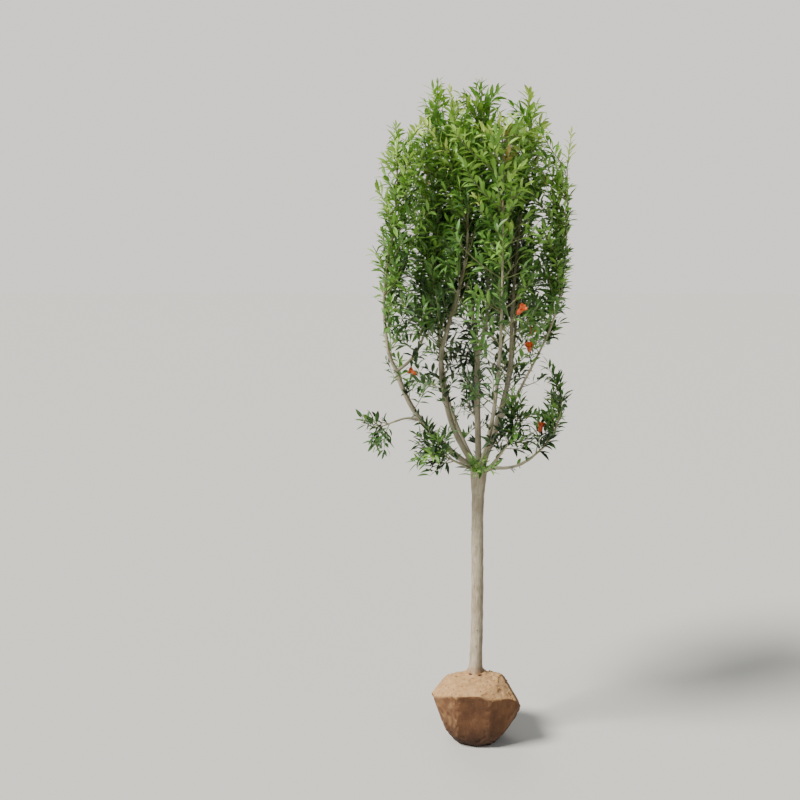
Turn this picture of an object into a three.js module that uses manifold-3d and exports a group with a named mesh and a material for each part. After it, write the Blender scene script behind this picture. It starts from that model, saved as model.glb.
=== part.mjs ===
// A young pomegranate standard lifted for planting: a spade-cut ball of clay, a clean straight stem and a
// narrow upright crown on a fan of boughs, in flower. Millimetres, +Z up, the photograph's view looks along +Y.
// The origin is the middle of the flat underside that the ball stands on.
import * as THREE from "three";
import { mergeVertices } from "three/addons/utils/BufferGeometryUtils.js";
import Module from "manifold-3d";

const wasm = await Module();
wasm.setup();

const GAP = 0.3; // clearance where one piece is seated on another
const SLIVER = 0.15; // edges and steps under this are closed up where pieces are fused
const UP = new THREE.Vector3(0, 0, 1);

// Root ball
const BALL_TOP = 234; // height of the top at the stem
const BALL_BELLY = 158; // height of the widest line
const BALL_REACH = 148; // usual distance from the axis to a side cut at the widest line
const MOUND_RISE = 5; // soil left round the foot of the stem
const MOUND_TOP = 33;
const MOUND_EDGE = 42;
const MOUND_FOOT = 58;
const MOUND_DEPTH = 28; // its foot follows the slope at the back down
// The cuts that shape the ball, tier by tier. Each plane's outward normal leans from upright by `lean` degrees.
// It passes a point at `height`, on a bearing, at a share of BALL_REACH that each bearing's own share varies.
// Bearings are degrees from +X, counter-clockwise from above, so 270 faces the viewer.
const BALL_CUTS = [
  {
    lean: 109, height: BALL_BELLY, share: 1,
    bearings: [[193, 1.02], [47, 0.94], [83, 0.97], [121, 0.94], [154, 0.965]],
  },
  {
    lean: 100, height: BALL_BELLY, share: 1,
    bearings: [[222, 0.888], [291, 0.858]],
  },
  {
    lean: 102, height: BALL_BELLY, share: 1,
    bearings: [[265, 0.805]],
  },
  {
    lean: 114, height: 126, share: 1.03,
    bearings: [[325, 0.965], [4, 0.99]],
  },
  {
    lean: 129, height: 58, share: 0.8,
    bearings: [
      [212, 1.06], [248, 1.02], [284, 1.01], [318, 1.03], [350, 0.99], [28, 0.99], [65, 0.96], [104, 1],
      [140, 0.98], [178, 1.05],
    ],
  },
  {
    lean: 47, height: BALL_BELLY + 16, share: 1,
    bearings: [[198, 0.934], [295, 0.99], [118, 0.96], [160, 0.89]],
  },
  {
    lean: 58, height: 190, share: 0.757,
    bearings: [[5, 0.975]],
  },
  {
    lean: 38, height: 190, share: 0.86,
    bearings: [[336, 1.02]],
  },
  {
    lean: 18, height: 206, share: 0.85,
    bearings: [[256, 1]],
  },
  {
    lean: 9, height: BALL_TOP - 2, share: 0.34,
    bearings: [[300, 1]],
  },
  {
    lean: 4, height: BALL_TOP - 2, share: 0.34,
    bearings: [[185, 1], [352, 1]],
  },
  {
    lean: 28, height: BALL_TOP - 3, share: 0.1,
    bearings: [[92, 1], [60, 2.6], [124, 2.6]],
  },
];

// Stem
const STEM_FOOT = BALL_TOP + MOUND_RISE + GAP;
const FORK = 958; // height of the fork
const STEM_HEAD = 14; // how far the rounded head stands above the fork
const STEM_RADIUS = 20.5; // at half height
const FLARE_RADIUS = 28; // at the foot
const FLARE_HEIGHT = 32;
const HEAD_RADIUS = 28; // swelling under the fork
const HEAD_LENGTH = 75;
const STEM_SIDES = 16;
const STEM_RINGS = [0, 12, 30, 56, 120, 260, 400, 540, 630, 675, 702, 718]; // above the foot

const BOUGH_SIDES = 7;
const BOUGH_COLLAR = 1.5; // swelling where a bough leaves its carrier's side
const STATION = 38; // distance between the rings of a bough
const STEM_STATION = 95; // and between those of a foliage stem

// Each bough: where it springs from (the head of the stem, or a share of another bough's length), the bearing
// it leans to, its leans from upright in degrees at even stations, its length, how far its tip is swayed to the
// back (+) or front (-), and its radius at both ends. A negative lean leans the other way, and over 90 droops.
// Of two that meet, the one listed first keeps its shape.
const BOUGHS = [
  {
    name: "bough_left", out: 12, up: -8, bearing: 183,
    leans: [54, 49, 41, 27, 16], length: 440, sway: -15, radii: [10.5, 7.5],
  },
  {
    name: "bough_centre", out: 0, up: 0, bearing: 180,
    leans: [1, 2, 1, 0], length: 375, sway: 8, radii: [11, 8.5],
  },
  {
    name: "bough_centre_left", out: 12, up: 2, bearing: 176,
    leans: [34, 28, 14, 9, -7], length: 425, sway: -38, radii: [10, 7.4],
  },
  {
    name: "bough_centre_right", out: 14, up: 3, bearing: 4,
    leans: [16, 19, 14, 2], length: 390, sway: 25, radii: [10, 7.4],
  },
  {
    name: "bough_back_left", out: 14, up: -2, bearing: 122,
    leans: [46, 40, 30], length: 250, radii: [9, 7],
  },
  {
    name: "bough_back_right", out: 14, up: -6, bearing: 56,
    leans: [48, 42, 30], length: 250, radii: [9, 7],
  },
  {
    name: "bough_front", out: 13, up: -5, bearing: 284,
    leans: [38, 30, 16, 8], length: 470, radii: [8, 5],
  },
  {
    name: "bough_low_right", out: 15, up: -12, bearing: 356,
    leans: [68, 90, 74, 54], length: 160, radii: [6, 4.6],
  },
  {
    name: "bough_low_left", out: 15, up: -14, bearing: 218,
    leans: [58, 66], length: 70, radii: [5.5, 4.4],
  },
  {
    name: "bough_low_front", out: 15, up: -16, bearing: 312,
    leans: [58, 42], length: 90, radii: [5.5, 4.6],
  },
  {
    name: "bough_low_back", out: 15, up: -18, bearing: 88,
    leans: [62, 54, 40], length: 150, radii: [6.5, 4.8],
  },
  {
    name: "bough_left_leader", on: "bough_left", at: 1, bearing: 182,
    leans: [30, 16], length: 70, sway: -5, radii: [6.8, 6],
  },
  {
    name: "bough_left_inner", on: "bough_left", at: 1, bearing: 2,
    leans: [60, 46, 36], length: 90, sway: 14, radii: [5.4, 4.6],
  },
  {
    name: "bough_left_whip", on: "bough_left", at: 0.58, bearing: 184,
    leans: [72, 96, 112], length: 90, sway: -15, radii: [4.2, 3.4],
  },
  {
    name: "bough_centre_back", on: "bough_centre", at: 1, bearing: 104,
    leans: [26, 18], length: 110, radii: [6, 5.2],
  },
  {
    name: "bough_centre_leader", on: "bough_centre", at: 1, bearing: 345,
    leans: [18, 8], length: 130, sway: -10, radii: [7, 6],
  },
  {
    name: "bough_right", on: "bough_centre_right", at: 0.38, bearing: 350,
    leans: [46, 28, 22], length: 170, sway: -20, radii: [5.4, 4.4],
  },
];

// Each mass of foliage: the bough whose tip carries it, or the head of the stem, its own stem beyond that, and
// the length of its lowest twigs.
const MASSES = [
  {
    name: "foliage_left_leader", on: "bough_left_leader", bearing: 182,
    leans: [10, 2, -8, -11, -2, 2], length: 645, sway: -25, twig: 108,
  },
  {
    name: "foliage_left_inner", on: "bough_left_inner", bearing: 4,
    leans: [28, 8, 4, 4, -4, -4], length: 795, sway: 30, twig: 104, flowers: 1, seed: 13,
  },
  {
    name: "foliage_centre_left", on: "bough_centre_left", bearing: 176,
    leans: [-14, -17, -10, 4, 10, 8], length: 695, sway: -70, twig: 96,
  },
  {
    name: "foliage_centre_back", on: "bough_centre_back", bearing: 112,
    leans: [12, 8, 4, 1], length: 640, twig: 100,
  },
  {
    name: "foliage_centre_leader", on: "bough_centre_leader", bearing: 184,
    leans: [-2, 2, 4, 3, 1], length: 695, sway: -10, twig: 92, flowers: 1,
  },
  {
    name: "foliage_centre_right", on: "bough_centre_right", bearing: 6,
    leans: [0, 3, 6, 6, 2], length: 785, sway: 20, twig: 100, flowers: 1,
  },
  {
    name: "foliage_right", on: "bough_right", bearing: 352,
    leans: [28, 22, 6, 0, -3], length: 700, sway: -20, twig: 92, flowers: 1,
  },
  {
    name: "foliage_low_right", on: "bough_low_right", bearing: 352,
    leans: [56, 34, 10, -4], length: 270, twig: 80, flowers: 1,
  },
  {
    name: "foliage_back_left", on: "bough_back_left", bearing: 125,
    leans: [22, 10, 2, -2, -5], length: 850, twig: 112, flowers: 1,
  },
  {
    name: "foliage_back_right", on: "bough_back_right", bearing: 50,
    leans: [22, 10, 2, -2, -5], length: 860, twig: 112, flowers: 1, seed: 13,
  },
  {
    name: "foliage_front", on: "bough_front", bearing: 275,
    leans: [6, 2, -4, -8], length: 615, twig: 96, flowers: 1,
  },
  {
    name: "foliage_low_back", on: "bough_low_back", bearing: 92,
    leans: [36, 18, 0], length: 330, twig: 95,
  },
  {
    name: "foliage_low_front", on: "bough_low_front", bearing: 318,
    leans: [44, 28, 12], length: 180, twig: 80, flowers: 1,
  },
  {
    name: "foliage_low_left", on: "bough_low_left", bearing: 208,
    leans: [66, 58, 44], length: 150, twig: 76,
  },
  {
    name: "foliage_left_whip", on: "bough_left_whip", bearing: 184,
    leans: [110, 112, 92], length: 70, twig: 60,
  },
  {
    name: "foliage_fork", on: "head", bearing: 276,
    leans: [66, 30], length: 80, twig: 62, radius: 3.6,
  },
];

// The crown's outline: how far it reaches at each height to the left, to the right, and to the front and back.
const CROWN = [
  { height: 880, left: -110, right: 80, deep: 120 },
  { height: 960, left: -410, right: 190, deep: 200 },
  { height: 1130, left: -415, right: 300, deep: 250 },
  { height: 1260, left: -340, right: 270, deep: 290 },
  { height: 1560, left: -352, right: 292, deep: 300 },
  { height: 1850, left: -345, right: 285, deep: 285 },
  { height: 2060, left: -312, right: 245, deep: 225 },
  { height: 2170, left: -215, right: 205, deep: 150 },
  { height: 2235, left: -190, right: 180, deep: 120 },
];

// Twigs and leaves. A leaf of the model stands for a small spray, so it is larger than a real leaf.
const TWIG_SPACING = 70; // along the stem of a mass
const TWIG_RADIUS = 3.2;
const TWIG_TIP = 1.8;
const TWIG_LEAN = 50; // degrees from the shoot that bears it
const TURN = 137.5; // degrees from one twig to the next round the stem
const PAIR_SPACING = 40; // leaves stand in opposite pairs
const PAIR_STAGGER = 6; // between the two of a pair
const LEAF_LENGTH = 108;
const LEAF_WIDTH = 37;
const LEAF_THICK = 3;
const LEAF_LEAN = 46;
const LEAF_ROOM = 11; // between the middles of two leaves, beyond their roots
const CELL_MARGIN = 2.5; // a mass keeps this far inside the space that is nearer to its stem than to another
const LIMB_MARGIN = 1.5;
const FLOWER_LENGTH = 40;
const FLOWER_RADIUS = 18;

const radians = THREE.MathUtils.degToRad;

// Repeatable numbers from 0 to 1.
function seeded(seed) {
  let state = seed >>> 0;
  return () => {
    state = (state + 0x6d2b79f5) >>> 0;
    let t = Math.imul(state ^ (state >>> 15), 1 | state);
    t = (t + Math.imul(t ^ (t >>> 7), 61 | t)) ^ t;
    return ((t ^ (t >>> 14)) >>> 0) / 4294967296;
  };
}

function seedOf({ name, seed = 7 }) {
  return [...name].reduce((sum, letter) => (sum * 31 + letter.charCodeAt(0)) >>> 0, seed);
}

// Solids and meshes
function solidOf(geometry) {
  const bare = geometry.clone();
  bare.deleteAttribute("normal");
  bare.deleteAttribute("uv");
  const merged = mergeVertices(bare, 1e-4);
  const triVerts = new Uint32Array(merged.index.array);
  const vertProperties = new Float32Array(merged.attributes.position.array);
  return new wasm.Manifold(new wasm.Mesh({ numProp: 3, vertProperties, triVerts }));
}

function geometryOf(solid) {
  const { vertProperties, triVerts } = solid.getMesh();
  const geometry = new THREE.BufferGeometry();
  geometry.setAttribute("position", new THREE.BufferAttribute(new Float32Array(vertProperties), 3));
  geometry.setIndex(new THREE.BufferAttribute(new Uint32Array(triVerts), 1));
  geometry.computeVertexNormals();
  return geometry;
}

// The largest closed body of a solid, less its slivers. Scraps go, and so do the walls of sealed hollows.
function largestBody(solid) {
  const tidied = solid.asOriginal().simplify(SLIVER);
  const bodies = tidied.decompose().filter((body) => body.volume() > 0);
  return bodies.reduce((best, body) => (body.volume() > best.volume() ? body : best));
}

// Directions
function towards(bearing, lean) {
  const flat = Math.sin(radians(lean));
  return new THREE.Vector3(
    flat * Math.cos(radians(bearing)),
    flat * Math.sin(radians(bearing)),
    Math.cos(radians(lean)),
  );
}

function squareTo(direction) {
  const side = Math.abs(direction.z) < 0.9 ? UP.clone() : new THREE.Vector3(1, 0, 0);
  return side.addScaledVector(direction, -side.dot(direction)).normalize();
}

function between(values, share) {
  const place = Math.min(Math.max(share, 0), 1) * (values.length - 1);
  const index = Math.min(Math.floor(place), values.length - 2);
  return values[index] + (values[index + 1] - values[index]) * (place - index);
}

// A shoot's line: points, directions and a radius at each ring. The frame is carried along without a twist.
function shootLine(points, radiusAt) {
  const stations = [];
  let side = null;
  points.forEach((point, i) => {
    const before = points[Math.max(i - 1, 0)];
    const after = points[Math.min(i + 1, points.length - 1)];
    const along = after.clone().sub(before).normalize();
    side = side ? side.addScaledVector(along, -side.dot(along)).normalize().clone() : squareTo(along);
    const across = new THREE.Vector3().crossVectors(along, side);
    stations.push({ point, along, side: side.clone(), across, radius: radiusAt(i / (points.length - 1)) });
  });
  return stations;
}

function leaningPoints(from, { bearing, leans, length, sway = 0 }, step) {
  const count = Math.max(Math.round(length / step), leans.length - 1, 2);
  const points = [from.clone()];
  for (let i = 0; i < count; i++) {
    const lean = between(leans, (i + 0.5) / count);
    points.push(points[i].clone().addScaledVector(towards(bearing, lean), length / count));
  }
  points.forEach((point, i) => {
    point.y += sway * Math.pow(i / count, 1.3);
  });
  return points;
}

// A cylinder of unit size with flat ends, bent along a line and drawn in to its radii.
function shootSolid(line, sides, grow = 0) {
  const rings = line.length - 1;
  const geometry = new THREE.CylinderGeometry(1, 1, rings, sides, rings);
  const position = geometry.attributes.position;
  const place = new THREE.Vector3();
  for (let i = 0; i < position.count; i++) {
    const ring = Math.min(Math.max(Math.round(position.getY(i) + rings / 2), 0), rings);
    const { point, along, side, across, radius } = line[ring];
    place.copy(point);
    place.addScaledVector(side, position.getX(i) * (radius + grow));
    place.addScaledVector(across, -position.getZ(i) * (radius + grow));
    if (ring === 0) place.addScaledVector(along, -grow);
    if (ring === rings) place.addScaledVector(along, grow);
    position.setXYZ(i, place.x, place.y, place.z);
  }
  return solidOf(geometry);
}

// Root ball: a turned block, flat below, cut by planes as a spade cuts it, with a low mound round the stem.
function turned(profile, sides) {
  const geometry = new THREE.LatheGeometry(
    profile.map(([radius, height]) => new THREE.Vector2(radius, height)),
    sides,
  );
  return solidOf(geometry.rotateX(Math.PI / 2));
}

function spadeCut(solid, point, normal) {
  const size = 4 * BALL_REACH;
  const block = new THREE.BoxGeometry(size, size, size).translate(0, 0, size / 2);
  const turn = new THREE.Quaternion().setFromUnitVectors(UP, normal);
  block.applyQuaternion(turn).translate(point.x, point.y, point.z);
  return solid.subtract(solidOf(block));
}

function rootBall() {
  const wide = 1.3 * BALL_REACH;
  let ball = turned([[0, 0], [wide, 0], [wide, BALL_TOP + 2], [0, BALL_TOP + 2]], 24);
  for (const { lean, height, share, bearings } of BALL_CUTS) {
    for (const [bearing, reach] of bearings) {
      const point = towards(bearing, 90).multiplyScalar(share * reach * BALL_REACH).setZ(height);
      ball = spadeCut(ball, point, towards(bearing, lean));
    }
  }
  const top = BALL_TOP + MOUND_RISE;
  const foot = BALL_TOP - MOUND_DEPTH;
  const mound = turned([[0, foot], [MOUND_FOOT, foot], [MOUND_EDGE, BALL_TOP - 2], [MOUND_TOP, top], [0, top]], 14);
  return ball.add(mound);
}

// Stem: flared at the foot, almost even above, swelling into the head that the boughs spring from.
function stemRadius(height) {
  const foot = Math.exp(-(height - STEM_FOOT) / (FLARE_HEIGHT / 2.2));
  const fromHead = (FORK - 18 - height) / HEAD_LENGTH;
  const taper = 1.5 * (0.5 - (height - STEM_FOOT) / (FORK - STEM_FOOT));
  const swelling = (HEAD_RADIUS - STEM_RADIUS) * Math.exp(-fromHead * fromHead * 1.6);
  return STEM_RADIUS + taper + (FLARE_RADIUS - STEM_RADIUS) * foot + swelling;
}

function stemLine() {
  const heights = STEM_RINGS.map((height) => STEM_FOOT + height);
  const points = [...heights, FORK + STEM_HEAD].map((z) => {
    const share = (z - STEM_FOOT) / (FORK - STEM_FOOT);
    return new THREE.Vector3(-3 + 5 * share + 2.5 * Math.sin(share * 6), 2 * Math.sin(share * 5 + 1), z);
  });
  const line = shootLine(points, () => STEM_RADIUS);
  line.forEach((station) => {
    const over = Math.max(station.point.z - FORK + 10, 0) / (STEM_HEAD + 10);
    station.radius = stemRadius(station.point.z) * Math.sqrt(1 - 0.72 * over * over);
    station.along.copy(UP);
    station.side.set(1, 0, 0);
    station.across.set(0, 1, 0);
  });
  return line;
}

const stem = stemLine();
const head = new THREE.Vector3(0, 0, FORK);

// Boughs
function boughStart(bough) {
  if (!bough.on) {
    return head.clone().addScaledVector(towards(bough.bearing, 90), bough.out).setZ(FORK + bough.up);
  }
  const carrier = limbs.get(bough.on).line;
  if (bough.at < 1) return carrier[Math.round(bough.at * (carrier.length - 1))].point.clone();
  const tip = carrier[carrier.length - 1];
  return tip.point.clone().addScaledVector(tip.along, -4);
}

function nearestRadius(line, point) {
  let best = Infinity;
  for (let i = 1; i < line.length; i++) {
    const segment = new THREE.Line3(line[i - 1].point, line[i].point);
    const foot = segment.closestPointToPoint(point, true, new THREE.Vector3());
    best = Math.min(best, foot.distanceTo(point) - Math.max(line[i - 1].radius, line[i].radius));
  }
  return best;
}

const limbs = new Map();
limbs.set("trunk", { line: stem, solid: shootSolid(stem, STEM_SIDES), grown: shootSolid(stem, STEM_SIDES, GAP) });
for (const bough of BOUGHS) {
  const points = leaningPoints(boughStart(bough), bough, STATION);
  const [thick, thin] = bough.radii;
  const collar = bough.at === 1 ? 0 : BOUGH_COLLAR;
  const line = shootLine(points, (share) => {
    return thick + (thin - thick) * share + collar * Math.exp((-share * bough.length) / 14);
  });
  let solid = shootSolid(line, BOUGH_SIDES);
  for (const { grown } of limbs.values()) solid = solid.subtract(grown);
  limbs.set(bough.name, { line, solid: largestBody(solid), grown: shootSolid(line, BOUGH_SIDES, GAP) });
}

// Foliage: each mass has a stem that carries on from its bough, and the space nearer to it than to another's.
function massStem(mass) {
  const radius = mass.radius ?? limbs.get(mass.on).line.at(-1).radius;
  let from = head.clone().addScaledVector(towards(mass.bearing, 90), HEAD_RADIUS - 10).setZ(FORK - 32);
  if (mass.on !== "head") {
    const tip = limbs.get(mass.on).line.at(-1);
    from = tip.point.clone().addScaledVector(tip.along, GAP);
  }
  const points = leaningPoints(from, mass, STEM_STATION);
  const line = shootLine(points, (share) => radius + (TWIG_TIP - radius) * Math.pow(share, 0.8));
  if (mass.on !== "head") {
    const tip = limbs.get(mass.on).line.at(-1);
    Object.assign(line[0], { along: tip.along, side: tip.side, across: tip.across });
  }
  return line;
}

const stems = new Map(MASSES.map((mass) => [mass.name, massStem(mass)]));

function distanceToLine(line, point) {
  let best = Infinity;
  for (let i = 1; i < line.length; i++) {
    const segment = new THREE.Line3(line[i - 1].point, line[i].point);
    const foot = segment.closestPointToPoint(point, true, new THREE.Vector3());
    best = Math.min(best, foot.distanceTo(point));
  }
  return best;
}

function inOwnSpace(name, point, margin) {
  const own = distanceToLine(stems.get(name), point) + 2 * margin;
  for (const [other, line] of stems) {
    if (other !== name && distanceToLine(line, point) < own) return false;
  }
  return true;
}

function clearOfLimbs(point, room) {
  if (point.z < STEM_FOOT) return false;
  for (const { line } of limbs.values()) {
    if (nearestRadius(line, point) < room) return false;
  }
  return true;
}

function inCrown({ x, y, z }) {
  const upper = CROWN.findIndex(({ height }) => height > z);
  if (upper < 1) return false;
  const [low, high] = [CROWN[upper - 1], CROWN[upper]];
  const share = (z - low.height) / (high.height - low.height);
  const left = THREE.MathUtils.lerp(low.left, high.left, share);
  const right = THREE.MathUtils.lerp(low.right, high.right, share);
  const deep = THREE.MathUtils.lerp(low.deep, high.deep, share);
  const across = (x - (left + right) / 2) / ((right - left) / 2);
  return across * across + (y * y) / (deep * deep) < 1;
}

// The five corners of a leaf: a keeled blade, widest before its middle, with its root sunk in the shoot.
function leafCorners({ root, along, across, face, size }) {
  const middle = root.clone().addScaledVector(along, 0.45 * LEAF_LENGTH * size);
  const tip = root.clone().addScaledVector(along, LEAF_LENGTH * size);
  tip.addScaledVector(face, -0.08 * LEAF_LENGTH * size);
  const half = (LEAF_WIDTH / 2) * size;
  return {
    root: root.clone().addScaledVector(along, -0.5),
    left: middle.clone().addScaledVector(across, -half),
    right: middle.clone().addScaledVector(across, half),
    keel: middle.clone().addScaledVector(face, -LEAF_THICK),
    tip,
  };
}

function leafSolid(leaf) {
  const corners = leafCorners(leaf);
  const geometry = new THREE.SphereGeometry(1, 3, 2);
  const position = geometry.attributes.position;
  for (let i = 0; i < position.count; i++) {
    const turn = THREE.MathUtils.euclideanModulo(Math.atan2(position.getZ(i), position.getX(i)), 2 * Math.PI);
    const third = Math.round((turn * 1.5) / Math.PI + 1.5) % 3;
    let corner = [corners.left, corners.keel, corners.right][third];
    if (position.getY(i) > 0.5) corner = corners.tip;
    if (position.getY(i) < -0.5) corner = corners.root;
    position.setXYZ(i, corner.x, corner.y, corner.z);
  }
  return solidOf(geometry);
}

// Puts a leaf on a shoot, leaning from it by `lean` towards `round`, its face turned up and then rolled.
function leafAt(station, round, lean, size, roll) {
  const out = station.side.clone().multiplyScalar(Math.cos(radians(round)));
  out.addScaledVector(station.across, Math.sin(radians(round)));
  const along = station.along.clone().multiplyScalar(Math.cos(radians(lean)));
  along.addScaledVector(out, Math.sin(radians(lean))).normalize();
  const face = squareTo(along).applyAxisAngle(along, roll);
  const across = new THREE.Vector3().crossVectors(along, face).normalize();
  return { root: station.point, along, across, face, size };
}

function leafFits(name, leaf, grown) {
  const { left, right, tip } = leafCorners(leaf);
  const ends = [left, right, tip];
  if (!ends.every((point) => inOwnSpace(name, point, CELL_MARGIN) && inCrown(point))) return false;
  const middles = [0.35, 0.6, 0.8, 1].map((share) => leaf.root.clone().lerp(tip, share));
  for (const other of grown.leaves) {
    const blade = [{ point: other.root.clone().lerp(other.tip, 0.2) }, { point: other.tip }];
    if (middles.some((point) => distanceToLine(blade, point) < LEAF_ROOM)) return false;
  }
  for (const twig of grown.twigs) {
    if (twig !== leaf.twig && middles.some((point) => distanceToLine(twig, point) < LEAF_ROOM)) return false;
  }
  return [0.15, 0.3, 0.45, 0.7, 1].every((share) => {
    const point = leaf.root.clone().lerp(tip, share);
    const half = (LEAF_WIDTH / 2) * leaf.size * (share < 0.45 ? share / 0.45 : (1 - share) / 0.55);
    return clearOfLimbs(point, half + LIMB_MARGIN);
  });
}

function twigFits(name, points, grown) {
  return points.slice(1).every((point) => {
    if (!inOwnSpace(name, point, CELL_MARGIN + TWIG_RADIUS) || !inCrown(point)) return false;
    if (grown.twigs.some((twig) => distanceToLine(twig, point) < 2 * LEAF_ROOM)) return false;
    return clearOfLimbs(point, TWIG_RADIUS + LIMB_MARGIN);
  });
}

// A twig's points: it leaves the stem at an angle and turns up towards the light.
function twigPoints(station, round, length) {
  const out = station.side.clone().multiplyScalar(Math.cos(radians(round)));
  out.addScaledVector(station.across, Math.sin(radians(round)));
  const way = station.along.clone().multiplyScalar(Math.cos(radians(TWIG_LEAN)));
  way.addScaledVector(out, Math.sin(radians(TWIG_LEAN))).normalize();
  const points = [station.point.clone()];
  for (let i = 0; i < 2; i++) {
    points.push(points[i].clone().addScaledVector(way, length / 2));
    way.addScaledVector(UP, 0.3).normalize();
  }
  return points;
}

function stationAt(line, share) {
  const place = share * (line.length - 1);
  const index = Math.min(Math.floor(place), line.length - 2);
  const rest = place - index;
  const [a, b] = [line[index], line[index + 1]];
  return { ...a, point: a.point.clone().lerp(b.point, rest), radius: a.radius + (b.radius - a.radius) * rest };
}

// Opposite pairs along a shoot, each square to the last, and one leaf at its end.
function growLeaves(name, line, length, from, grown, random) {
  const pairs = Math.max(Math.floor((length * (1 - from)) / PAIR_SPACING), 1);
  const start = random() * 180;
  const sizes = [1, 0.88, 0.76, 0.64];
  const add = (station, round, lean) => {
    const [grow, roll] = [0.85 + 0.25 * random(), (random() - 0.5) * 2.6];
    for (const [attempt, turn] of [0, 40, -45, 90].entries()) {
      const leaf = leafAt(station, round + turn, lean - 8 * attempt, grow * sizes[attempt], roll);
      leaf.twig = line;
      if (!leafFits(name, leaf, grown)) continue;
      grown.leaves.push({ ...leaf, tip: leafCorners(leaf).tip });
      return;
    }
  };
  for (let pair = 0; pair < pairs; pair++) {
    const share = from + ((pair + 0.35) / pairs) * (1 - from);
    add(stationAt(line, share), start + 90 * pair, LEAF_LEAN);
    add(stationAt(line, share + PAIR_STAGGER / length), start + 90 * pair + 180, LEAF_LEAN);
  }
  const end = { ...line.at(-1), point: line.at(-1).point.clone().addScaledVector(line.at(-1).along, -3) };
  add(end, start, 8);
}

// A flower: a thick cup that opens into a wide skirt, looking along its twig.
function flowerSolid({ point, along }) {
  const [length, wide] = [FLOWER_LENGTH, FLOWER_RADIUS];
  const profile = [[0, -5], [0.42 * wide, 0.3 * length], [wide, 0.85 * length]];
  profile.push([0.8 * wide, length], [0, 0.8 * length]);
  const points = profile.map(([radius, height]) => new THREE.Vector2(radius, height));
  const geometry = new THREE.LatheGeometry(points, 6).rotateX(Math.PI / 2);
  geometry.applyQuaternion(new THREE.Quaternion().setFromUnitVectors(UP, along));
  return solidOf(geometry.translate(point.x, point.y, point.z));
}

function flowerFits(name, station, grown) {
  return [0.3, 0.6, 1].every((share) => {
    const point = station.point.clone().addScaledVector(station.along, FLOWER_LENGTH * share);
    if (!inOwnSpace(name, point, CELL_MARGIN + 0.7 * FLOWER_RADIUS) || !inCrown(point)) return false;
    return clearOfLimbs(point, FLOWER_RADIUS + LIMB_MARGIN);
  });
}

function foliage(mass) {
  const random = seeded(seedOf(mass));
  const stemLine = stems.get(mass.name);
  const grown = { twigs: [stemLine], leaves: [], flowers: [] };
  const first = random() * 360;
  const count = Math.max(Math.round(mass.length / TWIG_SPACING), 2);
  for (let i = 0; i < count; i++) {
    const share = (i + 0.35) / count;
    const station = stationAt(stemLine, 0.04 + 0.9 * share);
    const reach = mass.twig * (1 - 0.3 * share) * (0.85 + 0.3 * random());
    for (let attempt = 0; attempt < 12; attempt++) {
      const length = reach * (attempt < 6 ? 1 : 0.65);
      const points = twigPoints(station, first + TURN * i + 60 * attempt, length);
      if (!twigFits(mass.name, points, { twigs: grown.twigs.slice(1) })) continue;
      grown.twigs.push(shootLine(points, (place) => TWIG_RADIUS + (TWIG_TIP - TWIG_RADIUS) * place));
      break;
    }
  }
  grown.twigs.forEach((twig, i) => {
    const length = twig[0].point.distanceTo(twig.at(-1).point);
    if (i > 0 && grown.flowers.length < (mass.flowers ?? 0) && flowerFits(mass.name, twig.at(-1))) {
      grown.flowers.push(twig.at(-1));
    }
    growLeaves(mass.name, twig, length, i === 0 ? 0.3 : 0.25, grown, random);
  });
  return grown;
}

function foliageSolid(mass, grown) {
  const pieces = grown.twigs.map((twig, i) => shootSolid(twig, i === 0 ? 4 : 3));
  pieces.push(...grown.leaves.map(leafSolid), ...grown.flowers.map(flowerSolid));
  let whole = wasm.Manifold.union(pieces);
  if (mass.on === "head") {
    for (const limb of limbs.values()) whole = whole.subtract(limb.grown);
  }
  return largestBody(whole);
}

const clay = new THREE.MeshStandardMaterial({ color: 0xb58c63, roughness: 0.95, metalness: 0 });
const bark = new THREE.MeshStandardMaterial({ color: 0xa89a80, roughness: 0.8, metalness: 0 });
const leafGreen = new THREE.MeshStandardMaterial({ color: 0x4f7a35, roughness: 0.55, metalness: 0 });

const sapling = new THREE.Group();

function addNode(name, solid, material) {
  const mesh = new THREE.Mesh(geometryOf(solid), material);
  mesh.name = name;
  sapling.add(mesh);
}

addNode("root_ball", rootBall(), clay);
for (const [name, { solid }] of limbs) addNode(name, solid, bark);
for (const mass of MASSES) addNode(mass.name, foliageSolid(mass, foliage(mass)), leafGreen);

export default sapling;
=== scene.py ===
# A young pomegranate standard lifted for planting. Its spade-cut ball of clay, its bark, its finer twigs,
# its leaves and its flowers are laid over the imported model, in metres, in the model's own frame.
import math
import random
from collections import namedtuple

import bmesh
import bpy
import numpy as np
from mathutils import Matrix, Vector, noise
from mathutils.bvhtree import BVHTree


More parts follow.
